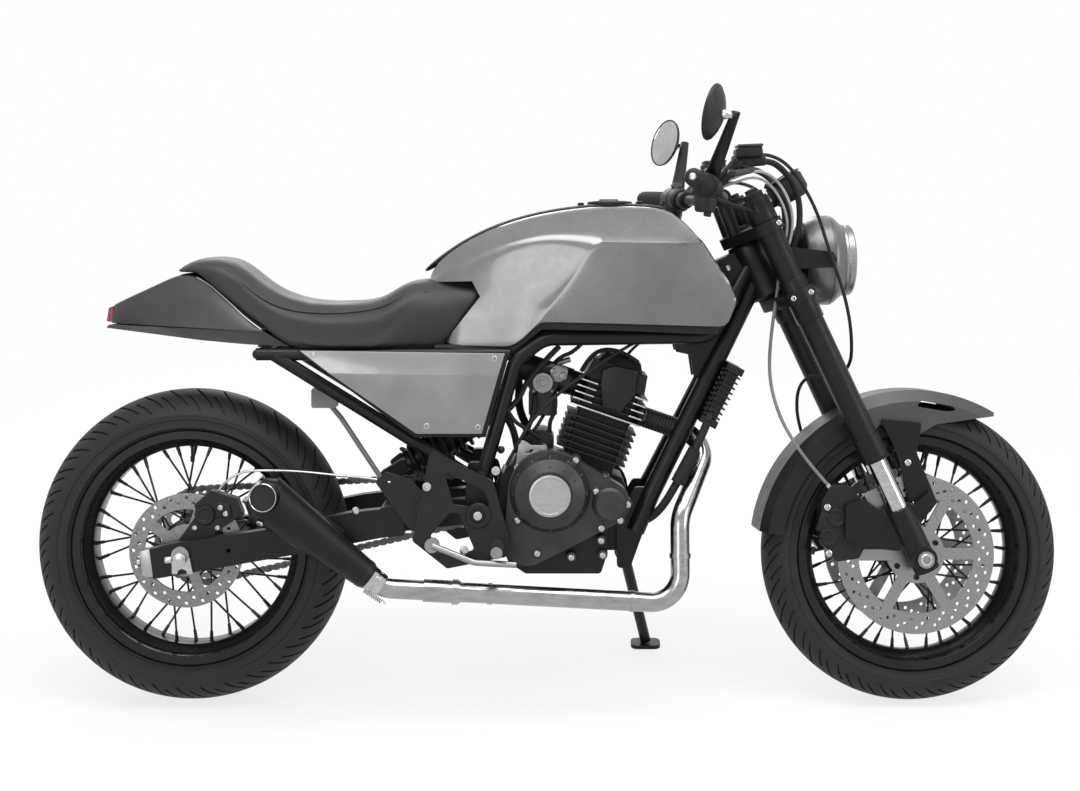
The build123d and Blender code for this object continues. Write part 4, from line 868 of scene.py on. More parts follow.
# Fasteners, each modelled once and copied
def capBolt(radius, height):
    bolt = rod((0, 0, 0), (0, 0, height), radius, 18, radius * 0.16)
    openEdit(bolt, "DESELECT")
    bpy.ops.mesh.select_mode(type="FACE")
    mesh = bmesh.from_edit_mesh(bolt.data)
    for face in mesh.faces:
        face.select_set(face.normal.z > 0.9 and face.calc_center_median().z > height * 0.9)
    bmesh.update_edit_mesh(bolt.data)
    bpy.ops.mesh.inset(thickness=radius * 0.42)
    bpy.ops.mesh.extrude_region_move(TRANSFORM_OT_translate={"value": (0, 0, -height * 0.5)})
    bpy.ops.mesh.select_mode(type="VERT")
    closeEdit()
    return bolt


def boltsAt(places, radius, height):
    # places are (point, direction the head looks)
    first = capBolt(radius, height)
    bolts = [copyTo(first, aim(point, look, 0.3 * number)) for number, (point, look) in enumerate(places)]
    discard(first)
    return together(bolts)


# Engine: bright fin edges, cam panels, cover bosses and bolts
engine = {
    "base": (0.774, 0, 0.465), "tiltDeg": 19.0, "headFin": 0.106, "pitch": 0.0128, "finY": 0.0731,
    "coverBolts": [
        (0.751, 0.486), (0.790, 0.427), (0.850, 0.402), (0.836, 0.372), (0.800, 0.357), (0.678, 0.309),
        (0.640, 0.372),
    ],
    "caseBolts": [(0.806, 0.450), (0.800, 0.331), (0.743, 0.299), (0.803, 0.303), (0.642, 0.300)],
    "coverFace": -0.129, "caseFace": -0.115, "finHalf": 0.070,
    "cam": [
        (-0.034, 0.189), (-0.014, 0.203), (0.031, 0.209), (0.043, 0.163), (0.027, 0.121), (-0.010, 0.119),
        (-0.029, 0.164),
    ],
}
tilt = math.radians(engine["tiltDeg"])
barrelBase = Vector(engine["base"])
barrelUp = Vector((math.sin(tilt), 0, math.cos(tilt)))
barrelAhead = Vector((math.cos(tilt), 0, -math.sin(tilt)))


def onBarrel(up, ahead=0.0, y=0.0):
    return barrelBase + barrelUp * up + barrelAhead * ahead + Vector((0, y, 0))


def barrelPlate(corners, yFrom, yTo, bevel):
    return plate([onBarrel(up, ahead).xz for ahead, up in corners], yFrom, yTo, bevel)


strips = []
for row in range(5):
    up, half = engine["headFin"] + row * engine["pitch"], engine["finHalf"]
    runs = [(-half, half)] if row == 0 else [(-half, -0.032), (0.044, half)]
    for first, last in runs:
        corners = [(first, up + 0.0001), (last, up + 0.0001), (last, up + 0.0031), (first, up + 0.0031)]
        strips.append(barrelPlate(corners, -engine["finY"], -engine["finY"] - 0.0010, 0.0003))
        strips.append(barrelPlate(corners, engine["finY"], engine["finY"] + 0.0010, 0.0003))
camPanels = [barrelPlate(engine["cam"], side * 0.058, side * 0.0775, 0.0040) for side in (-1, 1)]
settle(camPanels, "camPanels", "chassis", "engineBlack", "engine_black", 35)
settle(strips, "finEdges", "chassis", "bareAlloy", "fins", 30)

# Bright cap on the clutch cover
clutch = {
    "at": (0.702, -0.1795, 0.425),
    "cap": [
        (0.0, 0.0392), (0.0022, 0.0396), (0.0036, 0.0390), (0.0042, 0.0375), (0.0042, 0.0340), (0.0036, 0.0334),
        (0.0036, 0.0),
    ],
}
settle(lathe(clutch["cap"], clutch["at"], (0, -1, 0), 64), "clutchCap", "chassis", "capAlloy", "engine_black", 30)

# Bosses and bolts of the covers
bosses, boltPlaces = [], []
for spots, face in ((engine["coverBolts"], engine["coverFace"]), (engine["caseBolts"], engine["caseFace"])):
    for x, z in spots:
        bosses.append(rod((x, face + 0.030, z), (x, face - 0.003, z), 0.0105, 20, 0.0012, 0.0092))
        boltPlaces.append(((x, face - 0.003, z), (0, -1, 0)))
settle(bosses, "coverBosses", "chassis", "coverBlack", "engine_black", 35)
settle(boltsAt(boltPlaces, 0.0058, 0.0055), "coverBolts", "chassis", "boltZinc", "steel", 30)

# Cables and hoses of the engine
cables = {
    # name: (points, radius)
    "clutchCable": (
        [
            (0.6125, -0.118, 0.463), (0.6400, -0.116, 0.515), (0.6630, -0.112, 0.555), (0.7120, -0.100, 0.606),
            (0.7740, -0.088, 0.650), (0.8640, -0.074, 0.708), (0.930, -0.060, 0.735),
        ],
        0.0032,
    ),
    "breatherPipe": (
        [
            onBarrel(0.170, -0.070, -0.046), onBarrel(0.205, -0.064, -0.048), onBarrel(0.228, -0.040, -0.048),
            onBarrel(0.232, 0.000, -0.044), onBarrel(0.222, 0.030, -0.040),
        ],
        0.0045,
    ),
    "headBreather": (
        [onBarrel(0.215, 0.004, -0.020), onBarrel(0.240, 0.006, -0.022), (0.893, -0.040, 0.715)], 0.0030,
    ),
    "fuelLine": (
        [(0.700, -0.030, 0.650), (0.716, -0.052, 0.676), (0.756, -0.070, 0.690), (0.800, -0.060, 0.745)], 0.0040,
    ),
    "loomRun": (
        [(0.600, -0.098, 0.560), (0.640, -0.086, 0.590), (0.660, -0.070, 0.640), (0.720, -0.086, 0.700)], 0.0055,
    ),
    "starterLead": (
        [(0.684, -0.080, 0.520), (0.660, -0.094, 0.540), (0.626, -0.096, 0.560), (0.612, -0.100, 0.600)], 0.0040,
    ),
    "drainHose": (
        [(0.690, -0.026, 0.562), (0.676, -0.060, 0.540), (0.640, -0.084, 0.500), (0.622, -0.090, 0.440)], 0.0035,
    ),
}
for name, (points, radius) in cables.items():
    settle(hose(points, radius, 3), name, "chassis", "rubber", "rubber", 60)

oilHose = [
    hose(
        [
            (1.012, -0.060, 0.566), (1.006, -0.072, 0.548), (0.985, -0.080, 0.505), (0.950, -0.082, 0.440),
            (0.915, -0.076, 0.380), (0.880, -0.050, 0.352), (0.848, -0.040, 0.350),
        ],
        0.0080, 4,
    ),
    hose([(0.982, -0.0805, 0.499), (0.967, -0.0815, 0.471), (0.948, -0.0815, 0.436)], 0.0135, 4),
    rod((1.0135, -0.059, 0.570), (1.0075, -0.070, 0.552), 0.0110, 6),
]
settle(oilHose, "oilHose", "chassis", "rubber", "rubber", 40)

# Bracket of the clutch cable
bracket = plate(
    [
        (0.6416, 0.5138), (0.6502, 0.5240), (0.6673, 0.5138), (0.6912, 0.5138), (0.6981, 0.5052), (0.6809, 0.4952),
        (0.6604, 0.4933), (0.6450, 0.4745), (0.6364, 0.4760),
    ],
    -0.126, -0.120, 0.0012,
)
cutAway(bracket, [(0.6530, 0.4990), (0.6590, 0.5060), (0.6720, 0.5060), (0.6660, 0.4990)], -0.13, -0.11)
armParts = [
    bracket, rod((0.612, -0.118, 0.461), (0.618, -0.118, 0.475), 0.0050, 12, 0.001),
    rod((0.640, -0.095, 0.470), (0.640, -0.128, 0.470), 0.0070, 16, 0.001),
    rod((0.690, -0.095, 0.508), (0.690, -0.128, 0.508), 0.0070, 16, 0.001),
]
settle(armParts, "clutchBracket", "chassis", "castAlloy", "engine_black", 35)

# Carburettor top, linkage and screws
carb = {"x": 0.688, "z": 0.628, "screwsAt": 0.0245, "screwY": -0.046}
carbParts = [
    lathe(
        [
            (0.0, 0.0205), (0.004, 0.0205), (0.006, 0.0190), (0.006, 0.0130), (0.0045, 0.0122), (0.0045, 0.0070),
            (0.0080, 0.0062), (0.0080, 0.0),
        ],
        (carb["x"], -0.0655, carb["z"]), (0, -1, 0), 40,
    ),
    plate(
        [(0.700, 0.630), (0.702, 0.656), (0.716, 0.664), (0.738, 0.652), (0.736, 0.634), (0.722, 0.628)], -0.060,
        -0.030, 0.003,
    ),
    rod((0.708, -0.064, 0.650), (0.708, -0.020, 0.650), 0.0060, 14, 0.001),
    rod((0.728, -0.066, 0.640), (0.728, -0.020, 0.640), 0.0075, 14, 0.001),
    rod((0.690, -0.040, 0.655), (0.742, -0.040, 0.672), 0.0055, 12, 0.001),
]
for turn in range(4):
    angle = math.radians(45 + 90 * turn)
    at = onCircle(carb["x"], carb["z"], carb["screwsAt"], angle, carb["screwY"])
    carbParts.append(rod(at, at - Vector((0, 0.006, 0)), 0.0034, 12, 0.0006))
settle(carbParts, "carbDetail", "chassis", "castAlloy", "engine_black", 35)
print("engine dressed")

# Muffler: bright outlet ring and pressed bands
exhaust = {
    "low": (0.363, -0.168, 0.270), "high": (0.154, -0.190, 0.434), "length": 0.272,
    "outlet": [
        (0.0, 0.0255), (0.0, 0.0300), (0.006, 0.0312), (0.0075, 0.0300), (0.0075, 0.0270), (-0.050, 0.0240),
        (-0.050, 0.0),
    ],
    "weld": [(0.0, 0.0245), (0.0, 0.0268), (0.010, 0.0282), (0.010, 0.0255)], "band": (0.0445, 0.0462, 0.004),
    # how far along the muffler, how much prouder
    "bands": [(0.246, 0.0012), (0.236, 0.0008)],
}
pipeLow, pipeHigh = Vector(exhaust["low"]), Vector(exhaust["high"])
pipeRun = (pipeHigh - pipeLow).normalized()
outlet = lathe(exhaust["outlet"], pipeLow + pipeRun * (exhaust["length"] - 0.002), pipeRun, 48)
settle(outlet, "mufflerOutlet", "chassis", "chrome", "chrome", 35)
bands = [lathe(exhaust["weld"], pipeLow + pipeRun * 0.006, pipeRun, 48)]
inner, outer, wide = exhaust["band"]
for along, swell in exhaust["bands"]:
    section = [(0.0, inner), (0.0, outer + swell), (wide, outer + swell), (wide, inner)]
    bands.append(lathe(section, pipeLow + pipeRun * along, pipeRun, 48))
settle(bands, "mufflerBands", "chassis", "darkGrey", "black_paint", 35)

# Fork: clamp sleeves, caps, pinch bolts, seals
fork = {
    "y": 0.100, "lowSleeve": 0.503, "highSleeve": 0.707, "capFoot": 0.768, "sealFoot": 0.207,
    "low": [(0.0, 0.0248), (0.0, 0.0262), (0.0015, 0.0272), (0.0870, 0.0272), (0.0885, 0.0262), (0.0885, 0.0248)],
    "high": [(0.0, 0.0248), (0.0, 0.0262), (0.0015, 0.0270), (0.0500, 0.0270), (0.0520, 0.0258), (0.0520, 0.0248)],
    "cap": [
        (0.0, 0.0200), (0.004, 0.0200), (0.005, 0.0185), (0.005, 0.0125), (0.012, 0.0120), (0.013, 0.0105),
        (0.013, 0.0),
    ],
    "seal": [(0.0, 0.0190), (0.0, 0.0262), (0.003, 0.0268), (0.003, 0.0250)],
    # how far up the leg and ahead of it
    "pinch": [(0.555, 0.030), (0.558, -0.030), (0.701, 0.030)],
}
clamps, pinchBolts, seals = [], [], []
for side in (-1, 1):
    y = side * fork["y"]
    clamps.append(lathe(fork["low"], onLeg(fork["lowSleeve"], y), forkUp, 40))
    clamps.append(lathe(fork["high"], onLeg(fork["highSleeve"], y), forkUp, 40))
    clamps.append(lathe(fork["cap"], onLeg(fork["capFoot"], y), forkUp, 6))
    seals.append(lathe(fork["seal"], onLeg(fork["sealFoot"], y), forkUp, 40))
    for up, front in fork["pinch"]:
        pinchBolts.append((onLeg(up, y * 1.24, front * 0.6), (0, side, 0)))
settle(clamps, "forkClamps", "steering", "frameBlack", "black_paint", 35)
settle(boltsAt(pinchBolts, 0.0052, 0.006), "forkBolts", "steering", "boltZinc", "steel", 30)
settle(seals, "forkSeals", "steering", "rubber", "rubber", 35)

# Headlamp: grey shell, dark bowl, bezel, glass, reflector and bulb
lamp = {
    "z": 0.865, "ring": 1.277,
    "shell": [
        (1.200, 0.0500), (1.200, 0.0735), (1.2045, 0.0772), (1.220, 0.0862), (1.236, 0.0886), (1.2485, 0.0888),
        (1.2492, 0.0872), (1.2508, 0.0872), (1.2515, 0.0888), (1.2560, 0.0880), (1.2600, 0.0856), (1.2760, 0.0716),
        (1.2780, 0.0690), (1.2760, 0.0600),
    ],
    "back": [
        (-0.101, 0.0), (-0.099, 0.030), (-0.0925, 0.052), (-0.088, 0.0605), (-0.0845, 0.0690), (-0.0785, 0.0765),
        (-0.0760, 0.0757), (-0.0760, 0.0500),
    ],
    "bezel": [
        (-0.004, 0.0640), (-0.002, 0.0700), (0.004, 0.0708), (0.006, 0.0695), (0.008, 0.0706), (0.017, 0.0698),
        (0.0198, 0.0672), (0.0192, 0.0642), (0.0120, 0.0632), (-0.004, 0.0632),
    ],
    "glass": [
        (0.0100, 0.0634), (0.0135, 0.0636), (0.0160, 0.0520), (0.0180, 0.0300), (0.0188, 0.0), (0.0160, 0.0),
        (0.0152, 0.0300), (0.0132, 0.0515), (0.0100, 0.0634),
    ],
    "reflector": [
        (0.0095, 0.0630), (0.0030, 0.0610), (-0.0120, 0.0480), (-0.0260, 0.0260), (-0.0290, 0.0120), (-0.0290, 0.0),
    ],
    "bulb": [(-0.030, 0.0110), (-0.022, 0.0105), (-0.020, 0.0065), (-0.006, 0.0060), (-0.002, 0.0)],
}
lampAt, lampAxis = (lamp["ring"], 0, lamp["z"]), (1, 0, 0)
shell = lathe([(x - lamp["ring"], radius) for x, radius in lamp["shell"]], lampAt, lampAxis, 96)
settle(shell, "lampShell", "steering", "lampGrey", "silver_paint", 30, "headlight_shell")
settle(lathe(lamp["back"], lampAt, lampAxis, 96), "lampBowl", "steering", "blackPaint", "black_paint", 30)
settle(lathe(lamp["bezel"], lampAt, lampAxis, 96), "lampBezel", "steering", "steel", "chrome", 30)
glass = lathe(lamp["glass"], lampAt, lampAxis, 96)
settle(glass, "lampGlass", "steering", "lampGlass", "glass", 50, "headlight_lens")
reflector = [lathe(lamp["reflector"], lampAt, lampAxis, 64), lathe(lamp["bulb"], lampAt, lampAxis, 24)]
settle(reflector, "lampReflector", "steering", "mirror", "chrome", 40)
print("exhaust, fork and lamp dressed")

# Bars: grips with ribs, end weights, switch clusters and lever clamps
bars = {
    "end": (0.932, 0.370, 1.005), "bend": (1.035, 0.060, 0.985), "ribs": 17, "ribPitch": 0.0064,
    "weight": [
        (0.0, 0.0112), (0.0, 0.0150), (0.003, 0.0165), (0.010, 0.0165), (0.014, 0.0140), (0.016, 0.0100),
        (0.016, 0.0),
    ],
    "cluster": [
        (0.0, 0.0113), (0.0, 0.0215), (0.003, 0.0248), (0.030, 0.0256), (0.0325, 0.0238), (0.035, 0.0256),
        (0.054, 0.0246), (0.058, 0.0205), (0.058, 0.0113),
    ],
    "perch": [(0.0, 0.0113), (0.0, 0.0165), (0.002, 0.0180), (0.020, 0.0180), (0.022, 0.0165), (0.022, 0.0113)],
    "clusterBack": 0.127, "boxBack": 0.150, "perchBack": 0.196,
}
barEnd, barBend = Vector(bars["end"]), Vector(bars["bend"])


def onBar(back, side):
    point = barEnd + (barBend - barEnd).normalized() * back
    return Vector((point.x, side * point.y, point.z))


grips, weights, weightBolts, clusters, perches = [], [], [], [], []
for side in (-1, 1):
    run = (onBar(0.2, side) - onBar(0.0, side)).normalized()
    profile = [(0.006, 0.0112), (0.006, 0.0165)]
    for rib in range(bars["ribs"]):
        at = 0.009 + rib * bars["ribPitch"]
        profile += [(at, 0.0168), (at + 0.0012, 0.0158), (at + 0.0030, 0.0158), (at + 0.0042, 0.0168)]
    profile += [(0.119, 0.0170), (0.120, 0.0205), (0.124, 0.0205), (0.124, 0.0112)]
    grips.append(lathe(profile, onBar(0, side), run, 32))
    weights.append(lathe(bars["weight"], onBar(0.006, side), -run, 28))
    weightBolts.append((onBar(-0.010, side), -run))
    # switch cluster wraps the bar inboard of the grip
    clusters.append(lathe(bars["cluster"], onBar(bars["clusterBack"], side), run, 28))
    box = onBar(bars["boxBack"], side) + Vector((-0.004, 0, -0.020))
    clusters.append(rod(box + Vector((0, 0, 0.012)), box + Vector((-0.002, 0, -0.026)), 0.0250, 8, 0.004, 0.0195))
    clusters.append(rod(box + Vector((0.004, 0, 0.040)), box + Vector((0.016, 0, 0.050)), 0.0160, 8, 0.003, 0.0120))
    clusters.append(rod(box + Vector((-0.014, 0, 0.008)), box + Vector((-0.027, 0, 0.012)), 0.0050, 12, 0.001))
    clusters.append(rod(box + Vector((0.004, 0, -0.022)), box + Vector((0.002, 0, -0.034)), 0.0075, 8, 0.0015))
    perches.append(lathe(bars["perch"], onBar(bars["perchBack"], side) - run * 0.011, run, 28))
settle(grips, "ribbedGrips", "steering", "rubber", "rubber", 35, "grips")
settle(weights, "barWeights", "steering", "engineBlack", "black_paint", 35)
settle(boltsAt(weightBolts, 0.0065, 0.003), "barEndBolts", "steering", "boltZinc", "steel", 30)
settle(clusters + perches, "switchClusters", "steering", "plastic", "plastic", 35)

# Mirrors on their arms
mirror = {
    "at": (0.972, 0.330, 1.125), "toeDeg": 25, "leanDeg": 13, "head": (1.014, 0.322, 1.121), "armBack": 0.152,
    "shell": [
        (0.0205, 0.0), (0.0200, 0.012), (0.0165, 0.026), (0.0105, 0.040), (0.0040, 0.0500), (0.0, 0.0520),
        (-0.0020, 0.0516), (-0.0020, 0.0496), (-0.0006, 0.0490), (-0.0006, 0.0),
    ],
    "face": [(-0.0008, 0.0490), (-0.0014, 0.0470), (-0.0016, 0.0)],
    "knuckle": [(-0.004, 0.0), (-0.004, 0.0085), (0.002, 0.0095), (0.008, 0.0070), (0.014, 0.0050), (0.014, 0.0)],
}
shells, faces, arms, knuckles = [], [], [], []
for side in (-1, 1):
    toe = math.radians(mirror["toeDeg"])
    lean = math.radians(mirror["leanDeg"])
    look = Vector((-math.cos(toe) * math.cos(lean), -side * math.sin(toe) * math.cos(lean), math.sin(lean)))
    middle = Vector((mirror["at"][0], side * mirror["at"][1], mirror["at"][2]))
    shells.append(lathe(mirror["shell"], middle, -look, 64))
    faces.append(lathe(mirror["face"], middle, -look, 64))
    knuckle = middle - look * 0.022
    knuckles.append(lathe(mirror["knuckle"], knuckle, -look, 24))
    foot = onBar(mirror["armBack"], side) + Vector((0.004, 0, 0.014))
    head = Vector((mirror["head"][0], side * mirror["head"][1], mirror["head"][2]))
    arms.append(rod(knuckle - look * 0.006, head, 0.0040, 12))
    stem = head - foot
    flat = Vector((1, 0, 0)).cross(stem).normalized()
    arm = rod(foot, head + stem.normalized() * 0.006, 0.0148, 20, 0, 0.0088)
    openEdit(arm)
    bpy.ops.mesh.subdivide(number_cuts=3)
    bpy.ops.object.mode_set(mode="OBJECT")
    squeeze = Matrix.Translation(foot) @ Matrix.Scale(0.42, 4, flat) @ Matrix.Translation(-foot)
    arm.data.transform(squeeze)
    arms.append(modify(arm, "BEVEL", width=0.0012, segments=2, limit_method="ANGLE", angle_limit=math.radians(40)))
settle(shells, "mirrorShells", "steering", "plastic", "black_paint", 40, "mirrors")
settle(faces, "mirrorGlass", "steering", "mirrorGlass", "glass", 40)
settle(arms, "mirrorArms", "steering", "frameBlack", "black_paint", 40)
settle(knuckles, "mirrorKnuckles", "steering", "boltZinc", "steel", 35)

# Levers with their reservoirs
lever = {
    "y": 0.205, "foot": (1.038, 1.044), "barrel": (1.028, 1.044, 1.090, 1.050),
    "pot": [(1.034, 1.052), (1.032, 1.066), (1.038, 1.072), (1.082, 1.074), (1.084, 1.055)],
    "lid": [(1.036, 1.0715), (1.036, 1.0760), (1.083, 1.0780), (1.084, 1.0735)],
    "blade": [(1.040, 0.208, 1.038), (1.064, 0.244, 1.030), (1.040, 0.300, 1.020), (1.000, 0.368, 1.012)],
    "ball": [(-0.008, 0.0), (-0.0065, 0.0055), (0.0, 0.0082), (0.0065, 0.0055), (0.008, 0.0)],
}
controls, masterCaps = [], []
for side in (-1, 1):
    y, (footX, footZ), (backX, backZ, frontX, frontZ) = side * lever["y"], lever["foot"], lever["barrel"]
    controls.append(rod(onBar(bars["perchBack"], side), (footX, y, footZ), 0.0115, 16, 0.002))
    controls.append(rod((backX, y, backZ), (frontX, y, frontZ), 0.0118, 20, 0.002))
    controls.append(plate(lever["pot"], side * 0.188, side * 0.224, 0.003))
    masterCaps.append(plate(lever["lid"], side * 0.186, side * 0.226, 0.0012))
    controls.append(hose([(x, side * out, z) for x, out, z in lever["blade"]], 0.0055, 4))
    controls.append(lathe(lever["ball"], (1.000, side * 0.366, 1.012), (0.4, -side * 0.9, 0.1), 24))
    controls.append(rod((1.042, side * 0.210, 1.024), (1.042, side * 0.210, 1.046), 0.0075, 14, 0.001))
settle(controls, "barControls", "steering", "engineBlack", "black_paint", 32, "bar_controls")
settle(masterCaps, "masterCaps", "steering", "greyPaint", "black_paint", 30)

# Instrument: rim, marks and needle on its face
dial = {
    "foot": (1.186, 0, 0.985), "toward": (1.160, 0, 1.030), "rise": 0.0482, "reach": 0.031,
    "needle": (0.006, 0.026),
    "rim": [(0.0, 0.0385), (0.002, 0.0395), (0.004, 0.0380), (0.004, 0.0345), (0.0005, 0.0340), (0.0, 0.0)],
    "marks": 25, "startDeg": -30, "stepDeg": 10, "long": 0.006, "short": 0.0035,
}
dialAxis = (Vector(dial["toward"]) - Vector(dial["foot"])).normalized()
dialAt = Vector(dial["foot"]) + dialAxis * dial["rise"]
dialRim = lathe(dial["rim"], dialAt - dialAxis * 0.001, dialAxis, 64)
settle(dialRim, "dialRim", "steering", "rimBlack", "plastic", 35)


def onDial(turnDeg):
    out = dialAxis.orthogonal().normalized()
    out.rotate(Matrix.Rotation(math.radians(turnDeg), 3, dialAxis))
    return out


marks = []
for number in range(dial["marks"]):
    out = onDial(dial["startDeg"] + number * dial["stepDeg"])
    tall = dial["long"] if number % 4 == 0 else dial["short"]
    face = dialAt + dialAxis * 0.0002
    marks.append(rod(face + out * (dial["reach"] - tall), face + out * dial["reach"], 0.0006, 6))
needle, above = onDial(dial["startDeg"]), dialAt + dialAxis * 0.001
marks.append(rod(above - needle * dial["needle"][0], above + needle * dial["needle"][1], 0.0012, 6, 0, 0.0004))
settle(marks, "dialMarks", "steering", "boltZinc", "steel", 30)

# Cables from the bars, held at their ends by the steering
barCables = {
    # name: (points, radius, finish)
    "throttlePull": (
        [
            (0.992, -0.205, 1.000), (1.030, -0.190, 1.014), (1.080, -0.165, 1.034), (1.124, -0.130, 1.022),
            (1.158, -0.108, 0.975), (1.166, -0.098, 0.925), (1.156, -0.092, 0.890),
        ],
        0.0027, "paleCable",
    ),
    "throttleReturn": (
        [
            (0.992, -0.200, 0.992), (1.028, -0.184, 1.004), (1.076, -0.158, 1.022), (1.116, -0.124, 1.010),
            (1.148, -0.102, 0.966), (1.156, -0.094, 0.922), (1.148, -0.090, 0.892),
        ],
        0.0027, "paleCable",
    ),
    "clutchLine": (
        [
            (1.062, 0.246, 1.026), (1.110, 0.200, 1.040), (1.160, 0.090, 0.990), (1.160, 0.056, 0.900),
            (1.100, 0.028, 0.845),
        ],
        0.0036, "rubber",
    ),
    "switchLoom": (
        [
            (0.990, -0.240, 0.976), (1.030, -0.170, 0.966), (1.090, -0.110, 0.956), (1.150, -0.070, 0.930),
            (1.170, -0.040, 0.880),
        ],
        0.0042, "rubber",
    ),
}
for name, (points, radius, finishName) in barCables.items():
    settle(hose(points, radius, 3), name, "steering", finishName, "rubber", 60)
print("bars dressed")

# Chain: link plates and pins laid round the loop
drive = {
    "rear": (0.0, 0.3059, 0.095), "front": (0.640, 0.395, 0.038), "pitch": 0.015875, "y": 0.085,
    "link": [
        (-0.0116, 0.0), (-0.0098, 0.0058), (-0.0050, 0.0062), (0.0, 0.0040), (0.0050, 0.0062), (0.0098, 0.0058),
        (0.0116, 0.0), (0.0098, -0.0058), (0.0050, -0.0062), (0.0, -0.0040), (-0.0050, -0.0062), (-0.0098, -0.0058),
    ],
}
rearX, rearZ, rearR = drive["rear"]
frontX, frontZ, frontR = drive["front"]
gapX, gapZ = frontX - rearX, frontZ - rearZ
span, slope = math.hypot(gapX, gapZ), math.atan2(gapZ, gapX)
splay = math.asin((rearR - frontR) / span)
straight = span * math.cos(splay)
wrapRear, wrapFront = (math.pi + 2 * splay) * rearR, (math.pi - 2 * splay) * frontR
loopLength = 2 * straight + wrapRear + wrapFront


def onLoop(distance):
    distance %= loopLength
    upperTurn = slope + math.pi / 2 - splay
    lowerTurn = slope - math.pi / 2 + splay
    if distance < straight:
        start, stop = onCircle(rearX, rearZ, rearR, upperTurn), onCircle(frontX, frontZ, frontR, upperTurn)
        return start.lerp(stop, distance / straight)
    distance -= straight
    if distance < wrapFront:
        return onCircle(frontX, frontZ, frontR, upperTurn - distance / frontR)
    distance -= wrapFront
    if distance < straight:
        start, stop = onCircle(frontX, frontZ, frontR, lowerTurn), onCircle(rearX, rearZ, rearR, lowerTurn)
        return start.lerp(stop, distance / straight)
    return onCircle(rearX, rearZ, rearR, lowerTurn - (distance - straight) / rearR)


linkCount = 2 * round(loopLength / drive["pitch"] / 2)
pitch = loopLength / linkCount
sidePlate = plate(drive["link"], -0.0009, 0.0009)
roller = rod((0, -0.0052, 0), (0, 0.0052, 0), 0.0048, 10)
pin = rod((0, -0.0078, 0), (0, 0.0078, 0), 0.0026, 8)
links = []
for number in range(linkCount):
    at, after = onLoop(number * pitch), onLoop((number + 1) * pitch)
    run = (after - at).normalized()
    turn = Matrix((run, Vector((0, 1, 0)), run.cross(Vector((0, 1, 0))))).transposed().to_4x4()
    out = 0.0068 if number % 2 else 0.0048
    for y in (-out, out):
        links.append(
            copyTo(sidePlate, Matrix.Translation((at + after) / 2 + Vector((0, drive["y"] + y, 0))) @ turn)
        )
    links.append(copyTo(roller, Matrix.Translation(at + Vector((0, drive["y"], 0)))))
    links.append(copyTo(pin, Matrix.Translation(at + Vector((0, drive["y"], 0)))))
for spare in (sidePlate, roller, pin):
    discard(spare)
settle(links, "driveChain", "chassis", "chainSteel", "steel", 30, "chain")

# Rear sprocket: teeth between the rollers, six holes and the bore
sprocket = {
    "tooth": [(-0.30, -0.0052), (-0.10, 0.0030), (0.10, 0.0030), (0.30, -0.0052)], "inside": 0.0045,
    "y": (0.0823, 0.0877), "cut": (0.07, 0.10), "holes": 6, "holesAt": 0.064, "hole": 0.012, "bore": 0.016,
}
teeth = round(math.tau * rearR / pitch)
profile = []
for number in range(teeth):
    for share, reach in sprocket["tooth"]:
        profile.append(
            onCircle(rearX, rearZ, rearR - sprocket["inside"] + reach, math.tau * (number + share) / teeth).xz
        )
gear = plate(profile, *sprocket["y"])
for number in range(sprocket["holes"]):
    middle = onCircle(rearX, rearZ, sprocket["holesAt"], math.radians(60 * number + 30))
    cutAway(gear, ring(middle.x, middle.z, sprocket["hole"], 20), *sprocket["cut"])
cutAway(gear, ring(rearX, rearZ, sprocket["bore"], 15), *sprocket["cut"])
settle(gear, "rearSprocket", "rear_wheel", "steel", "steel", 30, "rear_sprocket")
print("chain laid:", linkCount, "links")


def onSurface(piece, point, lift=0.0):
    # the nearest place on a piece already set down, back on the upright machine
    _, at, normal, _ = piece.closest_point_on_mesh(upright @ Vector(point))
    return upright.inverted() @ (at + normal * lift)


# Tank band along the ridge, with the filler cap and four screws
band = {"half": 0.041, "rise": 0.0058, "sink": 0.007, "capX": 0.818}
ridge = [Vector((row[0][0], 0, row[0][2])) for row in tankShape["rows"][:8]]
ridge[0] = ridge[0].lerp(ridge[1], 0.10)
bandRows = []
for number, spot in enumerate(ridge):
    ahead = (ridge[min(number + 1, 7)] - ridge[max(number - 1, 0)]).normalized()
    normal = Vector((-ahead.z, 0, ahead.x))
    top, low = spot + normal * band["rise"], spot - normal * band["sink"]
    half = band["half"] * (0.86 if number == 0 else 1.0)
    bandRows.append([
        (top.x, 0.0, top.z + 0.0010), (top.x, -half * 0.84, top.z), (top.x, -half, top.z - 0.0030),
        (low.x, -half, low.z), (low.x, 0.0, low.z),
    ])
tankBand = skin(bandRows, (), [(1, 0, 7, 0.5), (2, 0, 7, 0.5), (3, 0, 7, 0.9)], 3)
settle(tankBand, "tankBand", "chassis", "plastic", "plastic", 30, "tank_strip")
capFoot = onSurface(tankBand, (band["capX"], 0, 1.1))
filler = [
    lathe(
        [
            (-0.004, 0.0440), (0.002, 0.0445), (0.0042, 0.0425), (0.0046, 0.0350), (0.0040, 0.0340),
            (0.0052, 0.0325), (0.0062, 0.0150), (0.0064, 0.0),
        ],
        capFoot, (0, 0, 1), 56,
    ),
    plate(
        [
            (band["capX"] - 0.020, capFoot.z + 0.0050), (band["capX"] - 0.018, capFoot.z + 0.0088),
            (band["capX"] + 0.018, capFoot.z + 0.0088), (band["capX"] + 0.020, capFoot.z + 0.0050),
        ],
        -0.006, 0.006, 0.001,
    ),
]
settle(filler, "fillerCap", "chassis", "engineBlack", "plastic", 35)
fasteners = []
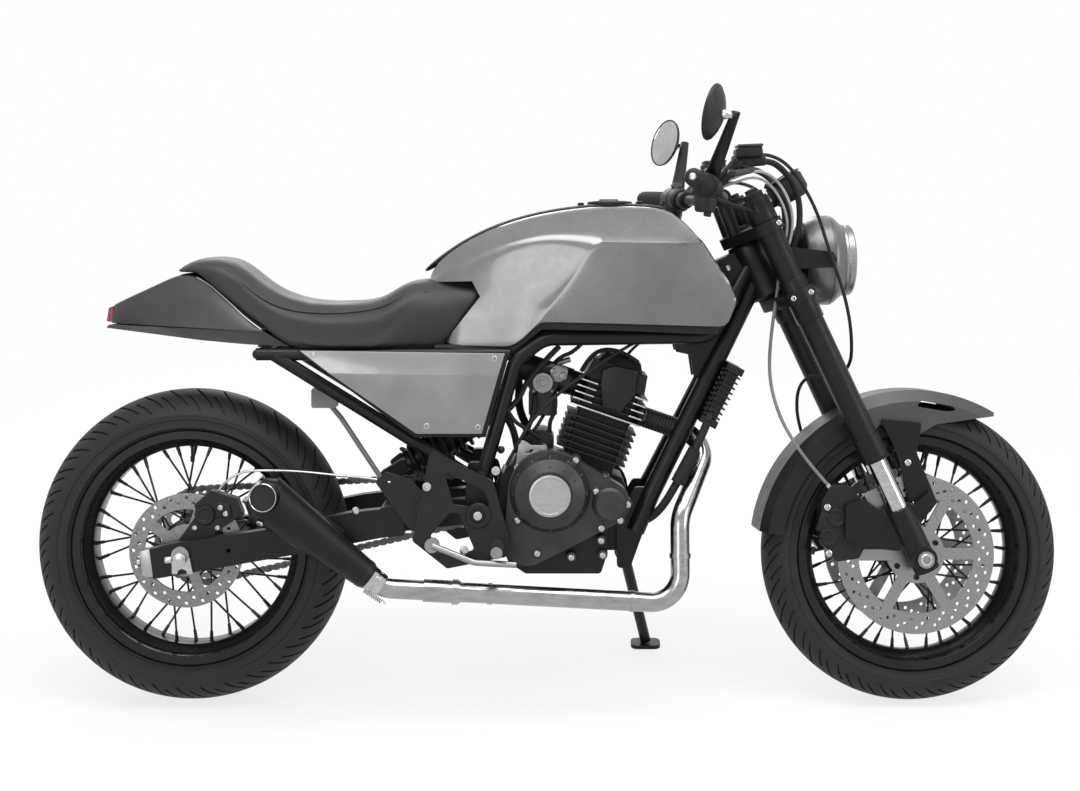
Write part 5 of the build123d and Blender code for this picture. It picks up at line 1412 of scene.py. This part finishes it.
for x in (0.750, 0.884):
    fasteners.append((onSurface(tankBand, (x, -0.024, 1.1)), (0, 0, 1)))
    fasteners.append((onSurface(tankBand, (x, 0.024, 1.1)), (0, 0, 1)))
settle(boltsAt(fasteners, 0.0062, 0.0050), "bandScrews", "chassis", "engineBlack", "plastic", 30)

# Side panels: a pressed skin with one crease over a dark flange
panel = {
    "top": [(0.2260, 0.6950), (0.3540, 0.6935), (0.4860, 0.6915), (0.6165, 0.6895)],
    "crease": [(0.2830, 0.6525), (0.3890, 0.6515), (0.4950, 0.6505), (0.6045, 0.6495)],
    "low": [(0.4480, 0.5370), (0.4890, 0.5370), (0.5300, 0.5370), (0.5730, 0.5370)],
    "y": (0.1385, 0.1465, 0.1395),
    "flange": [(0.2200, 0.6965), (0.6235, 0.6900), (0.5800, 0.5300), (0.4440, 0.5300), (0.2300, 0.6860)],
    "screws": [(0.252, 0.6868), (0.597, 0.6800), (0.565, 0.5500), (0.468, 0.5520)],
}
skins, flanges, screws = [], [], []
pressing = drawLine([(panel["top"][n][0], -panel["y"][0], panel["top"][n][1]) for n in range(4)])
bpy.ops.mesh.select_all(action="SELECT")
for row, depth, earlier in (("crease", 1, "top"), ("low", 2, "crease")):
    bpy.ops.mesh.extrude_region_move()
    mesh = bmesh.from_edit_mesh(pressing.data)
    for corner in [v for v in mesh.verts if v.select]:
        nearest = min(range(4), key=lambda n: abs(panel[earlier][n][0] - corner.co.x))
        corner.co = (panel[row][nearest][0], -panel["y"][depth], panel[row][nearest][1])
    bmesh.update_edit_mesh(pressing.data)
closeEdit()
modify(pressing, "SOLIDIFY", thickness=0.004, offset=0.0)
modify(pressing, "BEVEL", width=0.0016, segments=3, limit_method="ANGLE", angle_limit=math.radians(2.5))
flange = plate(panel["flange"], -0.1362, -0.1330, 0.0012)
for side in (-1, 1):
    skins.append(pressing if side < 0 else mirrored(pressing))
    flanges.append(flange if side < 0 else mirrored(flange))
    for x, z in panel["screws"]:
        screws.append(((x, side * 0.1402, z), (0, side, 0)))
settle(skins, "sidePanels", "chassis", "panelSilver", "silver_paint", 20, "side_panels")
settle(flanges, "panelFlanges", "chassis", "blackPaint", "black_paint", 35)
settle(boltsAt(screws, 0.0058, 0.0034), "panelScrews", "chassis", "boltZinc", "steel", 30)
print("tank band and panels set")

# Rear end: axle blocks, arm caps, brake line, hanger, exhaust spring
rearDress = {
    "block": [
        (-0.0175, 0.2985), (-0.0150, 0.3085), (-0.0080, 0.3150), (0.0, 0.3172), (0.0080, 0.3150), (0.0150, 0.3085),
        (0.0180, 0.2985), (0.0240, 0.2700), (0.0130, 0.2700), (0.0105, 0.2770), (0.0020, 0.2800), (-0.0040, 0.2770),
        (-0.0060, 0.2700), (-0.0165, 0.2700),
    ],
    "cap": [(-0.0800, 0.3130), (-0.0600, 0.3175), (-0.0530, 0.2625), (-0.0735, 0.2650)],
    "hanger": [
        (0.1716, 0.4535), (0.2629, 0.3903), (0.3138, 0.3517), (0.2900, 0.3330), (0.2401, 0.3113), (0.2067, 0.3289),
        (0.1600, 0.3900),
    ],
    "line": [
        (0.0560, -0.0900, 0.4080), (0.0691, -0.1000, 0.4355), (0.1082, -0.1000, 0.4600), (0.1441, -0.1020, 0.4630),
        (0.2160, -0.1080, 0.4622), (0.3028, -0.1220, 0.4550), (0.3682, -0.1400, 0.4525), (0.4000, -0.1480, 0.4460),
    ],
    "hooks": [(0.3440, -0.1665, 0.2510), (0.3920, -0.1650, 0.2190)],
}
blocks, armCaps = [], []
for side in (-1, 1):
    blocks.append(onSide(plate(rearDress["block"], -0.1385, -0.1312, 0.0012), side))
    y = side * 0.1385
    blocks.append(rod((0, y, 0.3000), (0, y + side * 0.0125, 0.3000), 0.0135, 6, 0.0012))
    blocks.append(rod((0, y + side * 0.0125, 0.3000), (0, y + side * 0.0165, 0.3000), 0.0085, 20, 0.001))
    blocks.append(rod((-0.0165, side * 0.1350, 0.2975), (-0.0300, side * 0.1350, 0.2965), 0.0072, 12, 0.0012))
    blocks.append(rod((-0.0300, side * 0.1180, 0.2930), (-0.0860, side * 0.1180, 0.2900), 0.0042, 12, 0.0006))
    blocks.append(rod((-0.0800, side * 0.1180, 0.2905), (-0.0870, side * 0.1180, 0.2900), 0.0085, 6, 0.001))
    armCaps.append(onSide(plate(rearDress["cap"], -0.1335, -0.1005, 0.0016), side))
settle(blocks, "axleBlocks", "chassis", "boltZinc", "steel", 30)
settle(armCaps, "armCaps", "chassis", "capAlloy", "steel", 30)
settle(hose(rearDress["line"], 0.0024, 3), "rearBrakeLine", "chassis", "bareAlloy", "steel", 60)
hanger = plate(rearDress["hanger"], -0.1400, -0.1370, 0.0008)
settle(hanger, "mufflerHanger", "chassis", "darkGrey", "black_paint", 30)
muffler = nodes["muffler"]
hangBolts = [((0.3324, -0.1320, 0.3901), (0, -1, 0)), ((0.2700, -0.1400, 0.3480), (0, -1, 0))]
for point in ((0.2012, -0.200, 0.4363), (0.1662, -0.215, 0.3837)):
    spot = onSurface(muffler, point)
    hangBolts.append((spot, onSurface(muffler, point, 0.01) - spot))
settle(boltsAt(hangBolts, 0.0072, 0.0050), "hangerBolts", "chassis", "boltZinc", "steel", 30)
hooks = [Vector(point) for point in rearDress["hooks"]]
coil = hooks[:1] + coilRun(*hooks, 109, 30, 0.16, 0.68, 0.0042) + hooks[1:]
settle(hose(coil, 0.0010, 2, 3), "exhaustSpring", "chassis", "boltZinc", "steel", 60)
collar = lathe(
    [
        (-0.004, 0.0195), (-0.004, 0.0235), (0.003, 0.0240), (0.010, 0.0232), (0.011, 0.0222), (0.014, 0.0222),
        (0.015, 0.0232), (0.026, 0.0228), (0.028, 0.0210), (0.028, 0.0192),
    ],
    pipeLow, -pipeRun, 48,
)
settle(collar, "slipCollar", "chassis", "chrome", "chrome", 35)

# Front calipers: piston covers, webs and bolts
caliper = {
    "pistons": [(1.2320, 0.3300), (1.2480, 0.3680)], "face": 0.0915,
    "piston": [
        (-0.004, 0.0185), (0.0015, 0.0185), (0.0035, 0.0170), (0.0035, 0.0120), (0.0022, 0.0110), (0.0022, 0.0),
    ],
    "pad": [(1.2060, 0.3460), (1.2190, 0.3830), (1.2330, 0.3780), (1.2200, 0.3410)],
    "web": [(1.2996, 0.4136), (1.3261, 0.4256), (1.3399, 0.3934), (1.3134, 0.3829)],
    "bolts": [
        (1.3041, 0.0925, 0.3851), (1.2960, 0.0925, 0.3300), (1.2285, 0.0925, 0.3890), (1.2310, 0.0925, 0.3010),
        (1.3915, 0.0725, 0.4715), (1.4265, 0.0775, 0.3979),
    ],
}
pads, webs, caliperBolts = [], [], []
for side in (-1, 1):
    for x, z in caliper["pistons"]:
        pads.append(lathe(caliper["piston"], (x, side * caliper["face"], z), (0, side, 0), 28))
    pads.append(plate(caliper["pad"], side * 0.088, side * 0.0945, 0.0018))
    pads.append(rod((1.2440, side * 0.0800, 0.4010), (1.2560, side * 0.0800, 0.4230), 0.0070, 12, 0.001))
    pads.append(rod((1.2080, side * 0.0720, 0.3100), (1.2030, side * 0.0720, 0.2960), 0.0048, 10, 0.001))
    webs.append(onSide(plate(caliper["web"], -0.0955, -0.0915, 0.0012), side))
    caliperBolts += [((x, side * y, z), (0, side, 0)) for x, y, z in caliper["bolts"]]
settle(pads, "caliperPads", "steering", "engineBlack", "black_paint", 35)
settle(webs, "caliperWebs", "steering", "castAlloy", "steel", 30)
settle(boltsAt(caliperBolts, 0.0066, 0.0052), "caliperBolts", "steering", "boltZinc", "steel", 30)

# Front axle: end rings, and the bolts of the disc spiders
axleEnd = {
    "ring": [(0.0, 0.0072), (0.0030, 0.0075), (0.0036, 0.0090), (0.0036, 0.0108), (0.0024, 0.0120), (0.0, 0.0122)],
    "ringY": 0.1335, "bolts": 6, "boltsAt": 0.044, "boltY": 0.0628,
}
axleX, _, axleZ = stance["frontAxle"]
axleRings, spiderBolts = [], []
for side in (-1, 1):
    axleRings.append(lathe(axleEnd["ring"], (axleX, side * axleEnd["ringY"], axleZ), (0, side, 0), 36))
    for number in range(axleEnd["bolts"]):
        angle = math.radians(60 * number + 30)
        spiderBolts.append(
            (onCircle(axleX, axleZ, axleEnd["boltsAt"], angle, side * axleEnd["boltY"]), (0, side, 0))
        )
settle(axleRings, "axleRings", "steering", "boltZinc", "steel", 30)
settle(boltsAt(spiderBolts, 0.0055, 0.0036), "spiderBolts", "front_wheel", "engineBlack", "black_paint", 30)
print("wheels' ends dressed")

# Brake lines from the master to the calipers, with unions at their ends
frontLines = {
    "upper": [
        (1.0708, -0.205, 1.058), (1.100, -0.196, 1.062), (1.150, -0.170, 1.036), (1.205, -0.125, 0.960),
        (1.232, -0.110, 0.880), (1.262, -0.106, 0.800), (1.278, -0.098, 0.725), (1.286, -0.055, 0.650),
        (1.250, 0.0, 0.632), (1.222, 0.042, 0.636), (1.204, 0.077, 0.600), (1.210, 0.079, 0.520),
        (1.250, 0.080, 0.428),
    ],
    "lower": [
        (1.1500, -0.040, 0.8450), (1.1399, -0.066, 0.8061), (1.1240, -0.070, 0.7093), (1.1200, -0.078, 0.6325),
        (1.1390, -0.080, 0.5618), (1.1729, -0.081, 0.5033), (1.2130, -0.082, 0.4520), (1.2440, -0.082, 0.4180),
    ],
}
settle(hose(frontLines["upper"], 0.0034, 3), "masterLine", "steering", "rubber", "rubber", 60, "brake_hoses")
settle(hose(frontLines["lower"], 0.0034, 3), "caliperLine", "steering", "greyPlastic", "rubber", 60)
unions = []
for points in frontLines.values():
    for end, near in ((points[0], points[1]), (points[-1], points[-2])):
        run = (Vector(near) - Vector(end)).normalized()
        unions.append(rod(Vector(end) - run * 0.004, Vector(end) + run * 0.018, 0.0052, 12, 0.0008))
        unions.append(rod(Vector(end) - run * 0.002, Vector(end) + run * 0.006, 0.0075, 6, 0.0008))
settle(unions, "lineUnions", "steering", "boltZinc", "steel", 30)

# Cast neck round the steering head, with the gussets below it
neck = {
    "at": (1.11105, 0, 0.85829), "low": -0.068, "high": 0.047,
    "web": [(1.0940, 0.8945), (1.0300, 0.8660), (1.0180, 0.8300), (1.0420, 0.7560), (1.1385, 0.7994)],
    "gusset": [(0.941, 0.719), (1.065, 0.729), (1.020, 0.646), (0.984, 0.635), (0.977, 0.680), (0.949, 0.686)],
    "bolts": [(1.052, 0.850), (1.066, 0.790), (1.044, 0.800)],
}
casting = [
    lathe(
        [
            (neck["low"], 0.029), (neck["low"], 0.040), (neck["low"] + 0.006, 0.0445), (-0.030, 0.0425),
            (0.010, 0.0415), (0.036, 0.0440), (neck["high"], 0.040), (neck["high"], 0.029),
        ],
        neck["at"], forkUp, 48,
    ),
    plate(neck["web"], -0.027, 0.027, 0.004),
    plate(neck["gusset"], -0.036, -0.031, 0.001), plate(neck["gusset"], 0.031, 0.036, 0.001),
]
settle(casting, "neckCasting", "chassis", "frameBlack", "black_paint", 35)
neckBolts = [((x, side * 0.027, z), (0, side, 0)) for side in (-1, 1) for x, z in neck["bolts"]]
settle(boltsAt(neckBolts, 0.0055, 0.004), "neckBolts", "chassis", "boltZinc", "steel", 30)

# Rear caliper: piston boss, pad plate and bleed nipple
rearCaliper = {
    "at": (0.0393, -0.1005, 0.3772),
    "boss": [(-0.004, 0.0205), (0.004, 0.0200), (0.007, 0.0180), (0.007, 0.0120), (0.0055, 0.0110), (0.0055, 0.0)],
    "pad": [(0.058, 0.372), (0.062, 0.404), (0.088, 0.398), (0.092, 0.372)],
    "nipple": [(0.052, -0.092, 0.404), (0.056, -0.094, 0.420)],
    "bolts": [(0.070, -0.1045, 0.392), (0.080, -0.1045, 0.380), (0.020, -0.1010, 0.352), (0.064, -0.1010, 0.352)],
}
rearPads = [
    lathe(rearCaliper["boss"], rearCaliper["at"], (0, -1, 0), 32),
    plate(rearCaliper["pad"], -0.1045, -0.098, 0.002),
    rod(*rearCaliper["nipple"], 0.0060, 10, 0.001),
]
settle(rearPads, "rearCaliperBoss", "chassis", "engineBlack", "black_paint", 35)
rearBolts = boltsAt([(point, (0, -1, 0)) for point in rearCaliper["bolts"]], 0.0052, 0.0045)
settle(rearBolts, "rearCaliperBolts", "chassis", "boltZinc", "steel", 30)
print("calipers, lines and neck dressed")

# Seal along the tank's lower edge
seal = {
    "edge": [
        (0.4800, 0.7050), (0.6330, 0.7050), (0.6640, 0.7335), (0.6860, 0.7530), (0.8466, 0.7500), (1.0250, 0.7430),
    ],
    "drop": 0.020,
}
sealEdge = seal["edge"] + [(x, z - seal["drop"]) for x, z in reversed(seal["edge"])]
tankSeals = [plate(sealEdge, side * 0.078, side * 0.108, 0.003) for side in (-1, 1)]
settle(tankSeals, "tankSeal", "chassis", "plastic", "plastic", 35)

# Shock spring round the damper's body
shock = {"foot": (0.380, 0, 0.436), "head": (0.584, 0, 0.562), "points": 121, "stepDeg": 24, "coil": 0.0325}
shockFrom, shockTo = Vector(shock["foot"]), Vector(shock["head"])
shockCoil = coilRun(shockFrom, shockTo, shock["points"], shock["stepDeg"], 0.22, 0.56, shock["coil"])
settle(hose(shockCoil, 0.0042, 3, 3), "shockSpring", "chassis", "darkGrey", "black_paint", 60)

# Pivot rings and bolts of the rearset plates
pivot = {
    "at": (0.566, 0.1605, 0.385), "bolts": [(0.600, 0.470), (0.540, 0.320), (0.470, 0.440)], "boltY": 0.1600,
    "ring": [
        (-0.004, 0.0140), (-0.004, 0.0235), (0.002, 0.0240), (0.004, 0.0222), (0.004, 0.0150), (0.001, 0.0140),
    ],
}
pivots, pivotBolts = [], []
for side in (-1, 1):
    at = Vector((pivot["at"][0], side * pivot["at"][1], pivot["at"][2]))
    pivots.append(lathe(pivot["ring"], at, (0, side, 0), 40))
    pivotBolts.append((at, (0, side, 0)))
    pivotBolts += [((x, side * pivot["boltY"], z), (0, side, 0)) for x, z in pivot["bolts"]]
settle(pivots, "pivotRings", "chassis", "engineBlack", "black_paint", 30)
settle(boltsAt(pivotBolts, 0.0085, 0.0055), "pivotBolts", "chassis", "boltZinc", "steel", 30)

# Seat seam and the bright edge of the tail, laid on the pieces they follow
edging = {
    "seam": [
        (0.0842, 0.8591), (0.1207, 0.8169), (0.1619, 0.7862), (0.2139, 0.7670), (0.2972, 0.7659), (0.3701, 0.7785),
        (0.4008, 0.7958), (0.4239, 0.8188), (0.4700, 0.8215),
    ],
    "seamY": 0.105, "trim": [(0.0200, 0.078, 0.8405), (0.1510, 0.122, 0.7370)], "trimSteps": 6,
}
seams, trims = [], []
for side in (-1, 1):
    seamSpots = [onSurface(seat, (x, side * edging["seamY"], z), 0.0004) for x, z in edging["seam"]]
    seams.append(hose(seamSpots, 0.0013, 2, 8))
    first, last = [Vector((x, side * y, z)) for x, y, z in edging["trim"]]
    shares = [step / edging["trimSteps"] for step in range(edging["trimSteps"] + 1)]
    trims.append(hose([onSurface(cowl, first.lerp(last, share), 0.0006) for share in shares], 0.0016, 2, 6))
settle(seams, "seatSeam", "chassis", "thread", "seat", 60)
settle(trims, "tailTrim", "chassis", "capAlloy", "dark_grey", 60)
print("seal, spring, seam and trim laid")

# Wiring between the fork legs and the lamp
loom = {
    "runs": [
        [
            (1.088, -0.120, 1.050), (1.118, -0.105, 1.058), (1.160, -0.076, 1.030), (1.184, -0.058, 0.990),
            (1.188, -0.052, 0.942), (1.180, -0.050, 0.900), (1.166, -0.046, 0.850), (1.150, -0.036, 0.815),
        ],
        [
            (1.120, -0.040, 1.010), (1.150, -0.048, 1.000), (1.170, -0.044, 0.960), (1.172, -0.040, 0.920),
            (1.176, -0.030, 0.880), (1.182, -0.020, 0.868),
        ],
        [
            (1.088, 0.120, 1.050), (1.116, 0.105, 1.058), (1.156, 0.080, 1.034), (1.178, 0.062, 0.990),
            (1.180, 0.050, 0.930), (1.176, 0.030, 0.890), (1.180, 0.016, 0.868),
        ],
    ],
    "radii": [0.0062, 0.0050, 0.0062],
}
looms = [hose(run, radius, 4, 10) for run, radius in zip(loom["runs"], loom["radii"])]
settle(looms, "lampLoom", "steering", "rubber", "rubber", 60)

# Woven wrap on the header between the port and the down tubes
wrap = {"up": 0.122, "from": 0.0790, "to": 0.1660, "pitch": 0.0060, "radius": 0.0196}
wrapStart, wrapEnd = onBarrel(wrap["up"], wrap["from"]), onBarrel(wrap["up"], wrap["to"])
wrapLine, turns = [(0.0, 0.0188)], int((wrap["to"] - wrap["from"]) / wrap["pitch"])
for number in range(turns):
    wrapLine += [
        (wrap["pitch"] * (number + 0.12), wrap["radius"]),
        (wrap["pitch"] * (number + 0.85), wrap["radius"] + 0.0011),
    ]
wrapLine.append((wrap["pitch"] * turns, 0.0188))
settle(lathe(wrapLine, wrapStart, wrapEnd - wrapStart, 40), "headerWrap", "chassis", "plastic", "black_paint", 30)

# Breather hoses and wires behind the carburettor
breather = {
    "runs": [
        [
            (0.6318, -0.050, 0.6455), (0.6207, -0.052, 0.5932), (0.6168, -0.050, 0.5596), (0.6338, -0.048, 0.5298),
            (0.6392, -0.046, 0.4900),
        ],
        [
            (0.6800, -0.030, 0.6200), (0.6728, -0.050, 0.6043), (0.6691, -0.052, 0.5596), (0.6580, -0.050, 0.5372),
            (0.6468, -0.046, 0.4950),
        ],
        [
            (0.7100, -0.030, 0.6100), (0.7144, -0.046, 0.5900), (0.7103, -0.048, 0.5670), (0.6990, -0.046, 0.5446),
            (0.7029, -0.040, 0.5150),
        ],
        [
            (0.6250, 0.030, 0.6800), (0.6420, 0.030, 0.6300), (0.6380, 0.030, 0.5700), (0.6600, 0.030, 0.5250),
            (0.6560, 0.030, 0.4900),
        ],
    ],
    "radii": [0.0070, 0.0050, 0.0042, 0.0080],
}
breathers = [hose(run, radius, 4, 10) for run, radius in zip(breather["runs"], breather["radii"])]
settle(breathers, "breatherHoses", "chassis", "rubber", "rubber", 60)

# Round mouth on the outer side of the muffler's end
mouth = {"at": (0.179, -0.200, 0.4267), "axis": (-0.15, -1.0, 0.10)}
mouthCup = lathe(
    [
        (0.0, 0.0272), (0.0352, 0.0272), (0.0400, 0.0262), (0.0400, 0.0240), (0.0372, 0.0236), (0.0368, 0.0120),
        (0.0370, 0.0),
    ],
    mouth["at"], mouth["axis"], 56,
)
settle(mouthCup, "mufflerMouth", "chassis", "blackPaint", "black_paint", 35)
mouthRim = lathe(
    [(0.0385, 0.0244), (0.0405, 0.0241), (0.0416, 0.0250), (0.0408, 0.0262), (0.0388, 0.0263)], mouth["at"],
    mouth["axis"], 56,
)
settle(mouthRim, "mouthRim", "chassis", "chrome", "chrome", 35)
print("loom, wrap, hoses and muffler mouth set")
